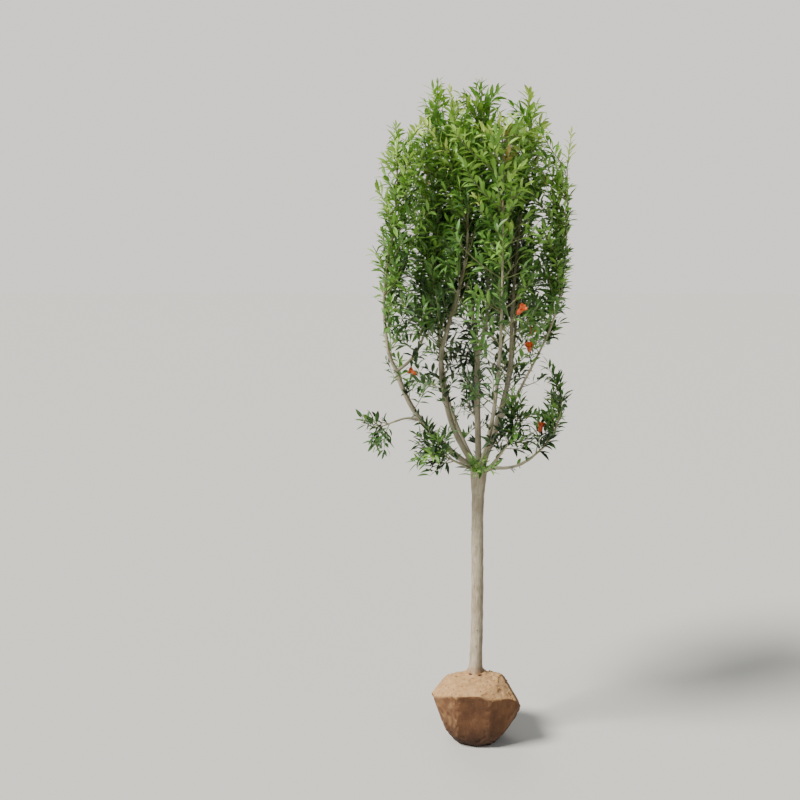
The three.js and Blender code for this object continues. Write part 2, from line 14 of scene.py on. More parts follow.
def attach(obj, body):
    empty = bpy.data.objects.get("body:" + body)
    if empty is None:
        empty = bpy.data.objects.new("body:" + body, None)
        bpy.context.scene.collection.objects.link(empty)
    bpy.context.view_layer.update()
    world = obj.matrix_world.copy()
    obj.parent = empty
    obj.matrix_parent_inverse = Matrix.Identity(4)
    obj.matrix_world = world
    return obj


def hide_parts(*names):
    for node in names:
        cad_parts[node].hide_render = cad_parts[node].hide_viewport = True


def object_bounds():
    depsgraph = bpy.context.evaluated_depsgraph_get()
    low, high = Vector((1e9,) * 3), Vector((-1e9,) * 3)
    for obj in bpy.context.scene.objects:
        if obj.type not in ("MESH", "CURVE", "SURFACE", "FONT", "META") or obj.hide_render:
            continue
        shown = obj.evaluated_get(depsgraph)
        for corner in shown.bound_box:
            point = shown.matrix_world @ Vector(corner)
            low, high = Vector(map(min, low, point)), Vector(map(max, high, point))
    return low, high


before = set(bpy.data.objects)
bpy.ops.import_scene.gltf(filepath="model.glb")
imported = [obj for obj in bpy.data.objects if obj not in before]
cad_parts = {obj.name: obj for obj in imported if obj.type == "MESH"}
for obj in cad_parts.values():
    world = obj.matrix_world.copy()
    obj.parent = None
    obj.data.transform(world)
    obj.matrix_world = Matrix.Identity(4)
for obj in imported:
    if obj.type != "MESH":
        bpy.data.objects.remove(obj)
cad_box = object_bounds()

MM = 0.001
EYE = np.array((-265.0, -2960.0, 1550.0))  # the photograph's view: eye height, a little to the left
TIPPED_DOWN = 7


def linked(name, data):
    obj = bpy.data.objects.new(name, data)
    bpy.context.scene.collection.objects.link(obj)
    return obj


lens = bpy.data.cameras.new("view")
lens.sensor_width = 36
lens.lens = 40.14
camera = linked("view", lens)
camera.location = EYE * MM
camera.rotation_euler = (math.radians(90 - TIPPED_DOWN), 0, 0)
bpy.context.scene.camera = camera

# The plant's habit, in millimetres and degrees, as in the part's source.
GAP = 0.3  # clearance where one piece is seated on another
BALL_TOP = 234
BALL_BELLY = 158
BALL_REACH = 148
MOUND_RISE = 5
MOUND_TOP = 33
MOUND_EDGE = 42
MOUND_FOOT = 58
MOUND_DEPTH = 28
# The ball's cuts: lean from upright, height, share of BALL_REACH, and each one's bearing and own share.
BALL_CUTS = [
    (109, BALL_BELLY, 1, [(193, 1.02), (47, 0.94), (83, 0.97), (121, 0.94), (154, 0.965)]),
    (100, BALL_BELLY, 1, [(222, 0.888), (291, 0.858)]),
    (102, BALL_BELLY, 1, [(265, 0.805)]),
    (114, 126, 1.03, [(325, 0.965), (4, 0.99)]),
    (129, 58, 0.8, [(212, 1.06), (248, 1.02), (284, 1.01), (318, 1.03), (350, 0.99), (28, 0.99),
                    (65, 0.96), (104, 1), (140, 0.98), (178, 1.05)]),
    (47, BALL_BELLY + 16, 1, [(198, 0.934), (295, 0.99), (118, 0.96), (160, 0.89)]),
    (58, 190, 0.757, [(5, 0.975)]),
    (38, 190, 0.86, [(336, 1.02)]),
    (18, 206, 0.85, [(256, 1)]),
    (9, BALL_TOP - 2, 0.34, [(300, 1)]),
    (4, BALL_TOP - 2, 0.34, [(185, 1), (352, 1)]),
    (28, BALL_TOP - 3, 0.1, [(92, 1), (60, 2.6), (124, 2.6)]),
]

STEM_FOOT = BALL_TOP + MOUND_RISE + GAP
FORK = 958
STEM_HEAD = 14
STEM_RADIUS = 20.5
FLARE_RADIUS = 28
FLARE_HEIGHT = 32
HEAD_RADIUS = 28
HEAD_LENGTH = 75
STEM_RINGS = [0, 12, 30, 56, 120, 260, 400, 540, 630, 675, 702, 718]
BOUGH_COLLAR = 1.5
STATION = 38
STEM_STATION = 95


def bough_of(name, bearing, leans, length, radii, **rest):
    return dict(name="bough_" + name, bearing=bearing, leans=leans, length=length, radii=radii, **rest)


def mass_of(name, bearing, leans, length, twig, **rest):
    return dict(name="foliage_" + name, on="bough_" + name, bearing=bearing, leans=leans, length=length,
                twig=twig, **rest)


BOUGHS = [
    bough_of("left", 183, (54, 49, 41, 27, 16), 440, (10.5, 7.5), out=12, up=-8, sway=-15),
    bough_of("centre", 180, (1, 2, 1, 0), 375, (11, 8.5), out=0, up=0, sway=8),
    bough_of("centre_left", 176, (34, 28, 14, 9, -7), 425, (10, 7.4), out=12, up=2, sway=-38),
    bough_of("centre_right", 4, (16, 19, 14, 2), 390, (10, 7.4), out=14, up=3, sway=25),
    bough_of("back_left", 122, (46, 40, 30), 250, (9, 7), out=14, up=-2),
    bough_of("back_right", 56, (48, 42, 30), 250, (9, 7), out=14, up=-6),
    bough_of("front", 284, (38, 30, 16, 8), 470, (8, 5), out=13, up=-5),
    bough_of("low_right", 356, (68, 90, 74, 54), 160, (6, 4.6), out=15, up=-12),
    bough_of("low_left", 218, (58, 66), 70, (5.5, 4.4), out=15, up=-14),
    bough_of("low_front", 312, (58, 42), 90, (5.5, 4.6), out=15, up=-16),
    bough_of("low_back", 88, (62, 54, 40), 150, (6.5, 4.8), out=15, up=-18),
    bough_of("left_leader", 182, (30, 16), 70, (6.8, 6), on="bough_left", at=1, sway=-5),
    bough_of("left_inner", 2, (60, 46, 36), 90, (5.4, 4.6), on="bough_left", at=1, sway=14),
    bough_of("left_whip", 184, (72, 96, 112), 90, (4.2, 3.4), on="bough_left", at=0.58, sway=-15),
    bough_of("centre_back", 104, (26, 18), 110, (6, 5.2), on="bough_centre", at=1),
    bough_of("centre_leader", 345, (18, 8), 130, (7, 6), on="bough_centre", at=1, sway=-10),
    bough_of("right", 350, (46, 28, 22), 170, (5.4, 4.4), on="bough_centre_right", at=0.38, sway=-20),
]

FORK_TUFT = "foliage_fork"  # the one mass that stands on the stem itself
# A mass with a lift is low and young, and paler by so much, part young green, part painted light. One with
# widen has longer side twigs.
MASSES = [
    mass_of("left_leader", 182, (10, 2, -8, -11, -2, 2), 645, 108, sway=-25, widen=1.4),
    mass_of("left_inner", 4, (28, 8, 4, 4, -4, -4), 795, 104, sway=30, flowers=1, seed=13, widen=1.4),
    mass_of("centre_left", 176, (-14, -17, -10, 4, 10, 8), 695, 96, sway=-70),
    mass_of("centre_back", 112, (12, 8, 4, 1), 640, 100),
    mass_of("centre_leader", 184, (-2, 2, 4, 3, 1), 695, 92, sway=-10, flowers=1),
    mass_of("centre_right", 6, (0, 3, 6, 6, 2), 785, 100, sway=20, flowers=1),
    mass_of("right", 352, (28, 22, 6, 0, -3), 700, 92, sway=-20, flowers=1, widen=1.4),
    mass_of("low_right", 352, (56, 34, 10, -4), 270, 80, flowers=1, lift=0.08),
    mass_of("back_left", 125, (22, 10, 2, -2, -5), 850, 112, flowers=1),
    mass_of("back_right", 50, (22, 10, 2, -2, -5), 860, 112, flowers=1, seed=13),
    mass_of("front", 275, (6, 2, -4, -8), 615, 96, flowers=1),
    mass_of("low_back", 92, (36, 18, 0), 330, 95),
    mass_of("low_front", 318, (44, 28, 12), 180, 80, flowers=1, lift=0.08),
    mass_of("low_left", 208, (66, 58, 44), 150, 76, lift=0.08),
    mass_of("left_whip", 184, (110, 112, 92), 70, 60, lift=0.08),
    mass_of("fork", 276, (66, 30), 80, 62, radius=3.6, lift=0.4),
]
MASS_NAMES = [mass["name"] for mass in MASSES]

# The crown's outline: height, reach to the left, to the right, and to the front and back.
CROWN = np.array([
    (880, -110, 80, 120), (960, -410, 190, 200), (1130, -415, 300, 250), (1260, -340, 270, 290),
    (1560, -352, 292, 300), (1850, -345, 285, 285), (2060, -312, 245, 225), (2170, -215, 205, 150),
    (2235, -190, 180, 120),
], float)

TWIG_SPACING = 70
TWIG_RADIUS = 3.2
TWIG_TIP = 1.8
TWIG_LEAN = 50
TURN = 137.5
PAIR_SPACING = 40
PAIR_STAGGER = 6
SPRAY_LENGTH = 108
SPRAY_WIDTH = 37
SPRAY_LEAN = 46
SPRAY_ROOM = 11
CELL_MARGIN = 2.5
LIMB_MARGIN = 1.5
FLOWER_LENGTH = 40
FLOWER_RADIUS = 18

UP = np.array((0.0, 0.0, 1.0))
WORD = 0xFFFFFFFF

Station = namedtuple("Station", "point along side across radius")
Spray = namedtuple("Spray", "root along across face size tip")


def seeded(seed):
    """Repeatable numbers from 0 to 1, the same as the source's."""
    state = seed & WORD

    def number():
        nonlocal state
        state = (state + 0x6D2B79F5) & WORD
        t = ((state ^ (state >> 15)) * (1 | state)) & WORD
        t = ((t + (((t ^ (t >> 7)) * (61 | t)) & WORD)) & WORD) ^ t
        return (t ^ (t >> 14)) / 4294967296

    return number


def seed_of(mass):
    total = mass.get("seed", 7)
    for letter in mass["name"]:
        total = (total * 31 + ord(letter)) & WORD
    return total


# Directions and lines
def unit(v):
    return v / math.sqrt(v @ v)


def cross(a, b):
    return np.array((a[1] * b[2] - a[2] * b[1], a[2] * b[0] - a[0] * b[2], a[0] * b[1] - a[1] * b[0]))


def turned_about(axis, v, angle):
    kept = axis * (axis @ v) * (1 - math.cos(angle))
    return v * math.cos(angle) + cross(axis, v) * math.sin(angle) + kept


def towards(bearing, lean):
    bearing, lean = math.radians(bearing), math.radians(lean)
    out = math.sin(lean)
    return np.array((out * math.cos(bearing), out * math.sin(bearing), math.cos(lean)))


def square_to(direction):
    side = UP if abs(direction[2]) < 0.9 else np.array((1.0, 0.0, 0.0))
    return unit(side - direction * (side @ direction))


def between(values, share):
    place = min(max(share, 0), 1) * (len(values) - 1)
    index = min(math.floor(place), len(values) - 2)
    return values[index] + (values[index + 1] - values[index]) * (place - index)


def out_from(station, around):
    return station.side * math.cos(around) + station.across * math.sin(around)


def shoot_line(points, radius_at):
    line, side, last = [], None, len(points) - 1
    for i, point in enumerate(points):
        along = unit(points[min(i + 1, last)] - points[max(i - 1, 0)])
        side = square_to(along) if side is None else unit(side - along * (side @ along))
        line.append(Station(point, along, side, cross(along, side), radius_at(i / last)))
    return line


def leaning_points(start, shoot, step):
    leans, length, sway = shoot["leans"], shoot["length"], shoot.get("sway", 0)
    count = max(math.floor(length / step + 0.5), len(leans) - 1, 2)
    points = [np.array(start, float)]
    for i in range(count):
        way = towards(shoot["bearing"], between(leans, (i + 0.5) / count))
        points.append(points[i] + way * (length / count))
    for i, point in enumerate(points):
        point[1] += sway * (i / count) ** 1.3
    return points


def points_on(line):
    return [station.point for station in line]


def steps_of(points):
    return [math.dist(a, b) for a, b in zip(points, points[1:])]


def length_of(points):
    return sum(steps_of(points))


def station_at(line, share):
    place = share * (len(line) - 1)
    index = min(math.floor(place), len(line) - 2)
    a, b, rest = line[index], line[index + 1], place - index
    return a._replace(point=a.point + (b.point - a.point) * rest,
                      radius=a.radius + (b.radius - a.radius) * rest)


# The stem and its boughs
def stem_point(z):
    share = (z - STEM_FOOT) / (FORK - STEM_FOOT)
    return np.array((-3 + 5 * share + 2.5 * math.sin(share * 6), 2 * math.sin(share * 5 + 1), z))


def stem_radius(z):
    foot = math.exp(-(z - STEM_FOOT) / (FLARE_HEIGHT / 2.2))
    from_head = (FORK - 18 - z) / HEAD_LENGTH
    taper = 1.5 * (0.5 - (z - STEM_FOOT) / (FORK - STEM_FOOT))
    swelling = (HEAD_RADIUS - STEM_RADIUS) * math.exp(-from_head * from_head * 1.6)
    over = max(z - FORK + 10, 0) / (STEM_HEAD + 10)
    radius = STEM_RADIUS + taper + (FLARE_RADIUS - STEM_RADIUS) * foot + swelling
    return radius * math.sqrt(1 - 0.72 * over * over)


def upright_line(heights):
    x, y = np.array((1.0, 0.0, 0.0)), np.array((0.0, 1.0, 0.0))
    return [Station(stem_point(z), UP, x, y, stem_radius(z)) for z in heights]


head = np.array((0.0, 0.0, FORK))


def bough_start(bough, limbs):
    if "on" not in bough:
        start = head + towards(bough["bearing"], 90) * bough["out"]
        start[2] = FORK + bough["up"]
        return start
    carrier = limbs[bough["on"]]
    if bough["at"] < 1:
        return carrier[math.floor(bough["at"] * (len(carrier) - 1) + 0.5)].point
    return carrier[-1].point - carrier[-1].along * 4


def grow_limbs():
    limbs = {"trunk": upright_line([STEM_FOOT + h for h in STEM_RINGS] + [FORK + STEM_HEAD])}
    for bough in BOUGHS:
        thick, thin = bough["radii"]
        collar = 0 if bough.get("at") == 1 else BOUGH_COLLAR

        def radius_at(share):
            return thick + (thin - thick) * share + collar * math.exp(-share * bough["length"] / 14)

        points = leaning_points(bough_start(bough, limbs), bough, STATION)
        limbs[bough["name"]] = shoot_line(points, radius_at)
    return limbs


def mass_stem(mass, limbs):
    on_stem = mass["name"] == FORK_TUFT
    if on_stem:
        start = head + towards(mass["bearing"], 90) * (HEAD_RADIUS - 10)
        start[2] = FORK - 32
        radius = mass["radius"]
    else:
        tip = limbs[mass["on"]][-1]
        start, radius = tip.point + tip.along * GAP, tip.radius
    points = leaning_points(start, mass, STEM_STATION)
    line = shoot_line(points, lambda share: radius + (TWIG_TIP - radius) * share ** 0.8)
    if not on_stem:
        line[0] = line[0]._replace(along=tip.along, side=tip.side, across=tip.across)
    return line


# Distances, measured from several points at once
def segments_of(lines):
    a = np.array([point for line in lines for point in points_on(line[:-1])])
    b = np.array([point for line in lines for point in points_on(line[1:])])
    thick = np.array([max(s.radius, t.radius) for line in lines for s, t in zip(line, line[1:])])
    firsts = np.cumsum([0] + [len(line) - 1 for line in lines[:-1]])
    return a, b, thick, firsts


def distances(points, a, b):
    way = b - a
    share = ((points[:, None] - a) * way).sum(2) / (way * way).sum(1)
    feet = a + way * np.clip(share, 0, 1)[..., None]
    return np.sqrt(((points[:, None] - feet) ** 2).sum(2))


limbs = grow_limbs()
stems = {mass["name"]: mass_stem(mass, limbs) for mass in MASSES}
LIMB_SEGMENTS = segments_of(list(limbs.values()))
STEM_SEGMENTS = segments_of(list(stems.values()))


def in_own_space(name, points, margin):
    a, b, _, firsts = STEM_SEGMENTS
    nearest = np.minimum.reduceat(distances(points, a, b), firsts, axis=1)
    own = MASS_NAMES.index(name)
    rest = np.delete(nearest, own, axis=1).min(axis=1)
    return bool((rest >= nearest[:, own] + 2 * margin).all())


def room_from_limbs(points):
    a, b, thick, _ = LIMB_SEGMENTS
    return (distances(points, a, b) - thick).min(axis=1)


def clear_of_limbs(points, room):
    return bool((points[:, 2] >= STEM_FOOT).all() and (room_from_limbs(points) >= room).all())


def crown_at(height):
    """The crown's reach to the left, to the right, and to the front and back."""
    return (np.interp(height, CROWN[:, 0], CROWN[:, i]) for i in (1, 2, 3))


def crown_share(points):
    """How far out each point stands in the crown: 0 at its axis, 1 at its outline."""
    height = points[:, 2]
    left, right, deep = crown_at(height)
    across = (points[:, 0] - (left + right) / 2) / ((right - left) / 2)
    return across ** 2 + (points[:, 1] / deep) ** 2


def in_crown(points):
    inside = (points[:, 2] >= CROWN[0, 0]) & (points[:, 2] < CROWN[-1, 0]) & (crown_share(points) < 1)
    return bool(inside.all())


# The sprays, twigs and flowers that the source stands on each mass's stem
def spray_at(station, around, lean, size, roll):
    around, lean = math.radians(around), math.radians(lean)
    along = unit(station.along * math.cos(lean) + out_from(station, around) * math.sin(lean))
    face = turned_about(along, square_to(along), roll)
    across = unit(cross(along, face))
    tip = station.point + along * SPRAY_LENGTH * size - face * 0.08 * SPRAY_LENGTH * size
    return Spray(station.point, along, across, face, size, tip)


def spray_fits(name, spray, own_twig, grown):
    root, tip, half = spray.root, spray.tip, SPRAY_WIDTH / 2 * spray.size
    middle = root + spray.along * 0.45 * SPRAY_LENGTH * spray.size
    ends = np.array((middle - spray.across * half, middle + spray.across * half, tip))
    if not (in_crown(ends) and in_own_space(name, ends, CELL_MARGIN)):
        return False
    middles = np.array([root + (tip - root) * share for share in (0.35, 0.6, 0.8, 1)])
    others = [(other.root + (other.tip - other.root) * 0.2, other.tip) for other in grown["sprays"]]
    for twig in grown["twigs"]:
        if twig is not own_twig:
            others.extend((s.point, t.point) for s, t in zip(twig, twig[1:]))
    if others:
        ends = np.array(others)
        if distances(middles, ends[:, 0], ends[:, 1]).min() < SPRAY_ROOM:
            return False
    shares = np.array((0.15, 0.3, 0.45, 0.7, 1))
    room = half * np.where(shares < 0.45, shares / 0.45, (1 - shares) / 0.55) + LIMB_MARGIN
    return clear_of_limbs(root + (tip - root) * shares[:, None], room)


def twig_points(station, around, length):
    around, lean = math.radians(around), math.radians(TWIG_LEAN)
    way = unit(station.along * math.cos(lean) + out_from(station, around) * math.sin(lean))
    points = [station.point]
    for _ in range(2):
        points.append(points[-1] + way * (length / 2))
        way = unit(way + UP * 0.3)
    return points


def twig_fits(name, points, twigs):
    points = np.array(points[1:])
    if not (in_crown(points) and in_own_space(name, points, CELL_MARGIN + TWIG_RADIUS)):
        return False
    if twigs:
        a, b, _, _ = segments_of(twigs)
        if distances(points, a, b).min() < 2 * SPRAY_ROOM:
            return False
    return clear_of_limbs(points, TWIG_RADIUS + LIMB_MARGIN)


def grow_sprays(name, line, length, start_share, grown, number):
    pairs = max(math.floor(length * (1 - start_share) / PAIR_SPACING), 1)
    start = number() * 180

    def add(station, around, lean):
        grow, roll = 0.85 + 0.25 * number(), (number() - 0.5) * 2.6
        for attempt, turn in enumerate((0, 40, -45, 90)):
            size = grow * (1, 0.88, 0.76, 0.64)[attempt]
            spray = spray_at(station, around + turn, lean - 8 * attempt, size, roll)
            if spray_fits(name, spray, line, grown):
                grown["sprays"].append(spray)
                return

    for pair in range(pairs):
        share = start_share + (pair + 0.35) / pairs * (1 - start_share)
        add(station_at(line, share), start + 90 * pair, SPRAY_LEAN)
        add(station_at(line, share + PAIR_STAGGER / length), start + 90 * pair + 180, SPRAY_LEAN)
    add(line[-1]._replace(point=line[-1].point - line[-1].along * 3), start, 8)


def flower_fits(name, station):
    points = np.array([station.point + station.along * FLOWER_LENGTH * share for share in (0.3, 0.6, 1)])
    if not (in_crown(points) and in_own_space(name, points, CELL_MARGIN + 0.7 * FLOWER_RADIUS)):
        return False
    return clear_of_limbs(points, FLOWER_RADIUS + LIMB_MARGIN)


def grow_mass(mass):
    number = seeded(seed_of(mass))
    name, stem = mass["name"], stems[mass["name"]]
    grown = {"twigs": [stem], "sprays": [], "flowers": []}
    first = number() * 360
    count = max(math.floor(mass["length"] / TWIG_SPACING + 0.5), 2)
    for i in range(count):
        share = (i + 0.35) / count
        station = station_at(stem, 0.04 + 0.9 * share)
        reach = mass["twig"] * (1 - 0.3 * share) * (0.85 + 0.3 * number())
        for attempt in range(12):
            length = reach * (1 if attempt < 6 else 0.65)
            points = twig_points(station, first + TURN * i + 60 * attempt, length)
            if twig_fits(name, points, grown["twigs"][1:]):
                taper = shoot_line(points, lambda place: TWIG_RADIUS + (TWIG_TIP - TWIG_RADIUS) * place)
                grown["twigs"].append(taper)
                break
    for i, twig in enumerate(grown["twigs"]):
        length = math.dist(twig[0].point, twig[-1].point)
        if i > 0 and len(grown["flowers"]) < mass.get("flowers", 0) and flower_fits(name, twig[-1]):
            grown["flowers"].append(twig[-1])
        grow_sprays(name, twig, length, 0.3 if i == 0 else 0.25, grown, number)
    return grown


masses = {mass["name"]: grow_mass(mass) for mass in MASSES}

# Finer growth, carried on from the source's shoots
LEAF_LENGTH = 46
LEAF_HALF_WIDTH = 0.13  # of its length
PAIR_EVERY = 13
RISE = 0.14  # how far a leaf turns up
YOUNG_RISE = 0.34
LEAF_LEAN = 48
TWIGLET_SHARE = 0.64  # how much of a spray its twiglet takes, before the end leaf
SPUR_SPACING = 24
SIDE_TWIG_SPACING = 23
SIDE_TWIG_LEANS = (34, 58)
SIDE_TWIG_REACH = (55, 112)
BARE_TWIG_REACH = (60, 135)
WHIP_REACH = (70, 125)
WHIP_FROM = 1900  # only shoots that reach this height end in a whip
TWIGLET_ENDS = (1.9, 0.9)
TWIGLET_ROOM = 4  # between a twiglet and a limb
LEAF_ROOM = 3
PAST_BOX = 11  # how far a leaf may reach past the solids' box
# Greens from lightest to darkest, dealt out as painted light and shade; bronze is the young tips' own
# colour.
TONES = ["tip", "fresh_and_lit", "bright", "middle", "deep", "inner", "bronze"]
TONE_LIMITS = (0.94, 0.76, 0.56, 0.38, 0.22)
HIGHEST = 2226
OPEN_BELOW = 1500  # height under which the photograph's crown thins out
FILL_TRIES = 4800
FILL_HEIGHTS = (1260, 2080)
FILL_CARRIED_FROM = 1120
FILL_CROWN_SHARE = 0.84
FILL_REACH = 150
FILL_FIT = 215
FILL_SPREAD = 45  # what each twig that a station carries takes from its fit for another

chance = random.Random(41)
leaves = {"root": [], "along": [], "face": [], "length": [], "tone": []}
twiglets = []


def jitter(size):
    return np.array([chance.uniform(-size, size) for _ in range(3)])


def tone_of(point, lift=0.0):
    """The green that a spray takes: lighter high up and far out, darker inside, as painted light and
    shade.
    """
    out = min(crown_share(point[None])[0], 1.1)
    high = min(max((point[2] - 1050) / 1050, 0), 1)
    light = 0.04 + 0.64 * high ** 1.3 + 0.25 * out + lift + chance.gauss(0, 0.12)
    if chance.random() < 0.004 and high > 0.35:
        return TONES.index("bronze")
    return next((i for i, limit in enumerate(TONE_LIMITS) if light > limit), len(TONE_LIMITS))


def spaced(first, spread, count):
    return [first + spread * (k + 0.5) / count for k in range(count)]


def swelling(shares):
    """Lengths of leaves that are longest past the middle of a shoot."""
    return [LEAF_LENGTH * (0.7 + 0.35 * math.sin(math.pi * (0.2 + 0.65 * share))) for share in shares]


def pairs_on(length):
    return max(int(length / PAIR_EVERY), 3)


def add_leaf(root, along, length, tone, up=0.8, rise=RISE):
    along = unit(along + UP * rise + jitter(0.14))
    facing = UP * up + jitter(0.42)
    facing = facing - along * (facing @ along)
    if facing @ facing < 0.01:
        facing = square_to(along)
    for key, value in zip(leaves, (root, along, unit(facing), length, tone)):
        leaves[key].append(value)


def add_pairs(points, shares, lean, sizes, tone, start, rise=RISE):
    """Leaves in opposite pairs along a shoot, each pair square to the last."""
    total, lean = length_of(points), math.radians(lean)
    way = unit(points[-1] - points[0])
    side = square_to(way)
    across = cross(way, side)
    for i, share in enumerate(shares):
        place = share * (len(points) - 1)
        index = min(int(place), len(points) - 2)
        a, b = points[index], points[index + 1]
        for half in (0, 1):
            root = a + (b - a) * (place - index) + unit(b - a) * half * total * 0.02
            around = start + math.pi * half + math.pi / 2 * i + chance.uniform(-0.3, 0.3)
            out = side * math.cos(around) + across * math.sin(around)
            tilt = lean + chance.uniform(-0.2, 0.2)
            along = way * math.cos(tilt) + out * math.sin(tilt)
            add_leaf(root, along, sizes[i] * chance.uniform(0.85, 1.15), tone, rise=rise)


def add_leafy_twig(points, tone, shares, sizes, lean, way, end, ends=TWIGLET_ENDS, rise=RISE):
    """A twiglet with leaves in pairs along it and one leaf at its end."""
    twiglets.append((points, *ends))
    add_pairs(points, shares, lean, sizes, tone, chance.uniform(0, math.pi), rise)
    add_leaf(points[-1], way, end, tone, 0.6)


def crooked(start, way, reach, steps, rise, waver):
    """The points of a shoot that rises and wavers as it grows, and the way that it points in the end."""
    points = [start]
    for _ in range(steps):
        points.append(points[-1] + way * (reach / steps))
        way = unit(way + UP * rise + jitter(waver))
    return points, way


def add_spray(spray, lift):
    """A twiglet along the spray's middle, in leaf from its root to the spray's tip."""
    full = SPRAY_LENGTH * spray.size
    way = unit(spray.tip - spray.root)
    bend = (UP - way * (UP @ way)) * 0.05 * full
    reach = full * TWIGLET_SHARE
    points = [spray.root + way * reach * t + bend * (t - t * t) * -2 for t in (0, 0.34, 0.67, 1)]
    tone = tone_of(spray.tip, lift)
    pairs = max(round(reach / PAIR_EVERY), 3)
    shares = [(i + 0.75) / (pairs + 0.1) for i in range(pairs)]
    sizes = [LEAF_LENGTH * (0.72 + 0.42 * math.sin(math.pi * (0.25 + 0.6 * share))) * min(spray.size, 1)
             for share in shares]
    end, rise = full * (1 - TWIGLET_SHARE) * 1.02, RISE if lift < 0.05 else 0.42
    add_leafy_twig(points, tone, shares, sizes, LEAF_LEAN, way, end, (1.5, 0.8), rise)


def add_spurs(line, start_share, spacing, lift):
    """Short tufts of leaves on a shoot's side, as on two-year wood."""
    count = int(length_of(points_on(line)) * (1 - start_share) / spacing)
    for i in range(count):
        share = start_share + (i + chance.random()) / count * (1 - start_share)
        station = station_at(line, min(share, 0.995))
        around = math.radians(TURN * i) + chance.uniform(-0.4, 0.4)
        out = out_from(station, around)
        root = station.point + out * station.radius * 0.8
        tone = tone_of(root, lift)
        for k in range(chance.choice((3, 4, 4, 5))):
            along = station.along * 0.55 + out * 0.75 + out_from(station, around + k * 2.4) * 0.5
            add_leaf(root, unit(along), LEAF_LENGTH * chance.uniform(0.6, 1.0), tone,
                     rise=YOUNG_RISE if lift else RISE)


def add_side_twigs(stem, lift, widen):
    """Shorter twigs between the source's, so that the crown is as close as the photograph's."""
    count = int(length_of(points_on(stem)) / SIDE_TWIG_SPACING)
    for i in range(count):
        share = 0.05 + 0.93 * (i + chance.random()) / count
        station = station_at(stem, share)
        if station.point[2] < OPEN_BELOW - 20 and lift < 0.05 and chance.random() < 0.6:
            continue
        around = math.radians(TURN * i + 70)
        lean = math.radians(chance.uniform(*SIDE_TWIG_LEANS))
        way = unit(station.along * math.cos(lean) + out_from(station, around) * math.sin(lean))
        reach = chance.uniform(*SIDE_TWIG_REACH) * (1 - 0.35 * share) * widen
        points, _ = crooked(station.point, way, reach, 4, 0.14, 0.05)
        ends = np.array(points[2:])
        if in_crown(ends) and clear_of_limbs(ends, TWIGLET_ROOM):
            shares = spaced(0.16, 0.8, pairs_on(reach))
            add_leafy_twig(points, tone_of(points[-1], lift), shares, swelling(shares), 50,
                           unit(points[-1] - points[-2]), LEAF_LENGTH * 0.85)


def add_bare_twig(station):
    """A thin, crooked twig with a few small leaves towards its end."""
    out = out_from(station, chance.uniform(0, math.tau))
    way = unit(station.along * 0.5 + out + UP * 0.25)
    points, way = crooked(station.point, way, chance.uniform(*BARE_TWIG_REACH), 5, 0.2, 0.2)
    if clear_of_limbs(np.array(points[2:]), TWIGLET_ROOM):
        add_leafy_twig(points, tone_of(points[-1], 0.06), [0.45, 0.66, 0.86],
                       [LEAF_LENGTH * size for size in (0.75, 0.8, 0.7)], LEAF_LEAN, way,
                       LEAF_LENGTH * 0.6, rise=YOUNG_RISE)


def add_whip(stem):
    """The season's last growth, straight on past a shoot's tip."""
    tip = stem[-1]
    reach = min(chance.uniform(*WHIP_REACH), HIGHEST - tip.point[2])
    if reach < 30:
        return
    way = unit(tip.along * 0.5 + UP * 0.5 + jitter(0.12))
    points = [tip.point + way * reach * t for t in (0, 0.33, 0.67, 1)]
    shares = spaced(0.1, 0.86, pairs_on(reach))
    sizes = [LEAF_LENGTH * (0.9 - 0.4 * share) for share in shares]
    tone = tone_of(points[-1], 0.12)
    add_leafy_twig(points, tone, shares, sizes, 38, way, LEAF_LENGTH * 0.6, (1.8, 0.8), 0.3)


def gap_wanted(tip):
    """How far from other leaves a fill twig's tip has to be, wider at the sides and below."""
    if tip[2] < OPEN_BELOW:
        return 56 + (OPEN_BELOW - tip[2]) * 0.14
    return 42 if abs(tip[1]) < 70 else 32


def grow_fill(stems_in_leaf):
    """Curved twigs from the nearest shoot into the crown's wider gaps, few of them low down."""
    stations = [station for stem in stems_in_leaf for station in stem]
    stations += [station for name, line in limbs.items() if name != "trunk" for station in line
                 if station.point[2] > FILL_CARRIED_FROM]
    origins = np.array(points_on(stations))
    carried = np.zeros(len(origins))
    tips = np.array(leaves["root"])
    for _ in range(FILL_TRIES):
        z = chance.uniform(*FILL_HEIGHTS)
        left, right, deep = crown_at(z)
        tip = np.array((chance.uniform(left, right), chance.uniform(-deep, deep), z))
        crowded = ((tips - tip) ** 2).sum(1).min() < gap_wanted(tip) ** 2
        if crowded or crown_share(tip[None])[0] > FILL_CROWN_SHARE:
            continue
        below = origins - tip
        reach = np.hypot(below[:, 0], below[:, 1])
        fit = np.abs(-below[:, 2] - reach * 0.9) + reach + FILL_SPREAD * carried
        start = int(np.argmin(fit))
        if reach[start] > FILL_REACH or fit[start] > FILL_FIT:
            continue
        root = origins[start]
        bow = np.array((tip[0] - root[0], tip[1] - root[1], 0)) * 0.22
        points = [root + (tip - root) * t + bow * 4 * (t - t * t) * 0.5 for t in (0, 0.25, 0.5, 0.75, 1)]
        if not clear_of_limbs(np.array(points[1:]), TWIGLET_ROOM):
            continue
        carried[start] += 1
        shares = spaced(0.2, 0.78, max(int(math.dist(root, tip) * 0.8 / 14), 3))
        add_leafy_twig(points, tone_of(tip), shares, swelling(shares), 50, unit(points[-1] - points[-2]),
                       LEAF_LENGTH * 0.85)
        tips = np.vstack((tips, leaves["root"][len(tips):]))


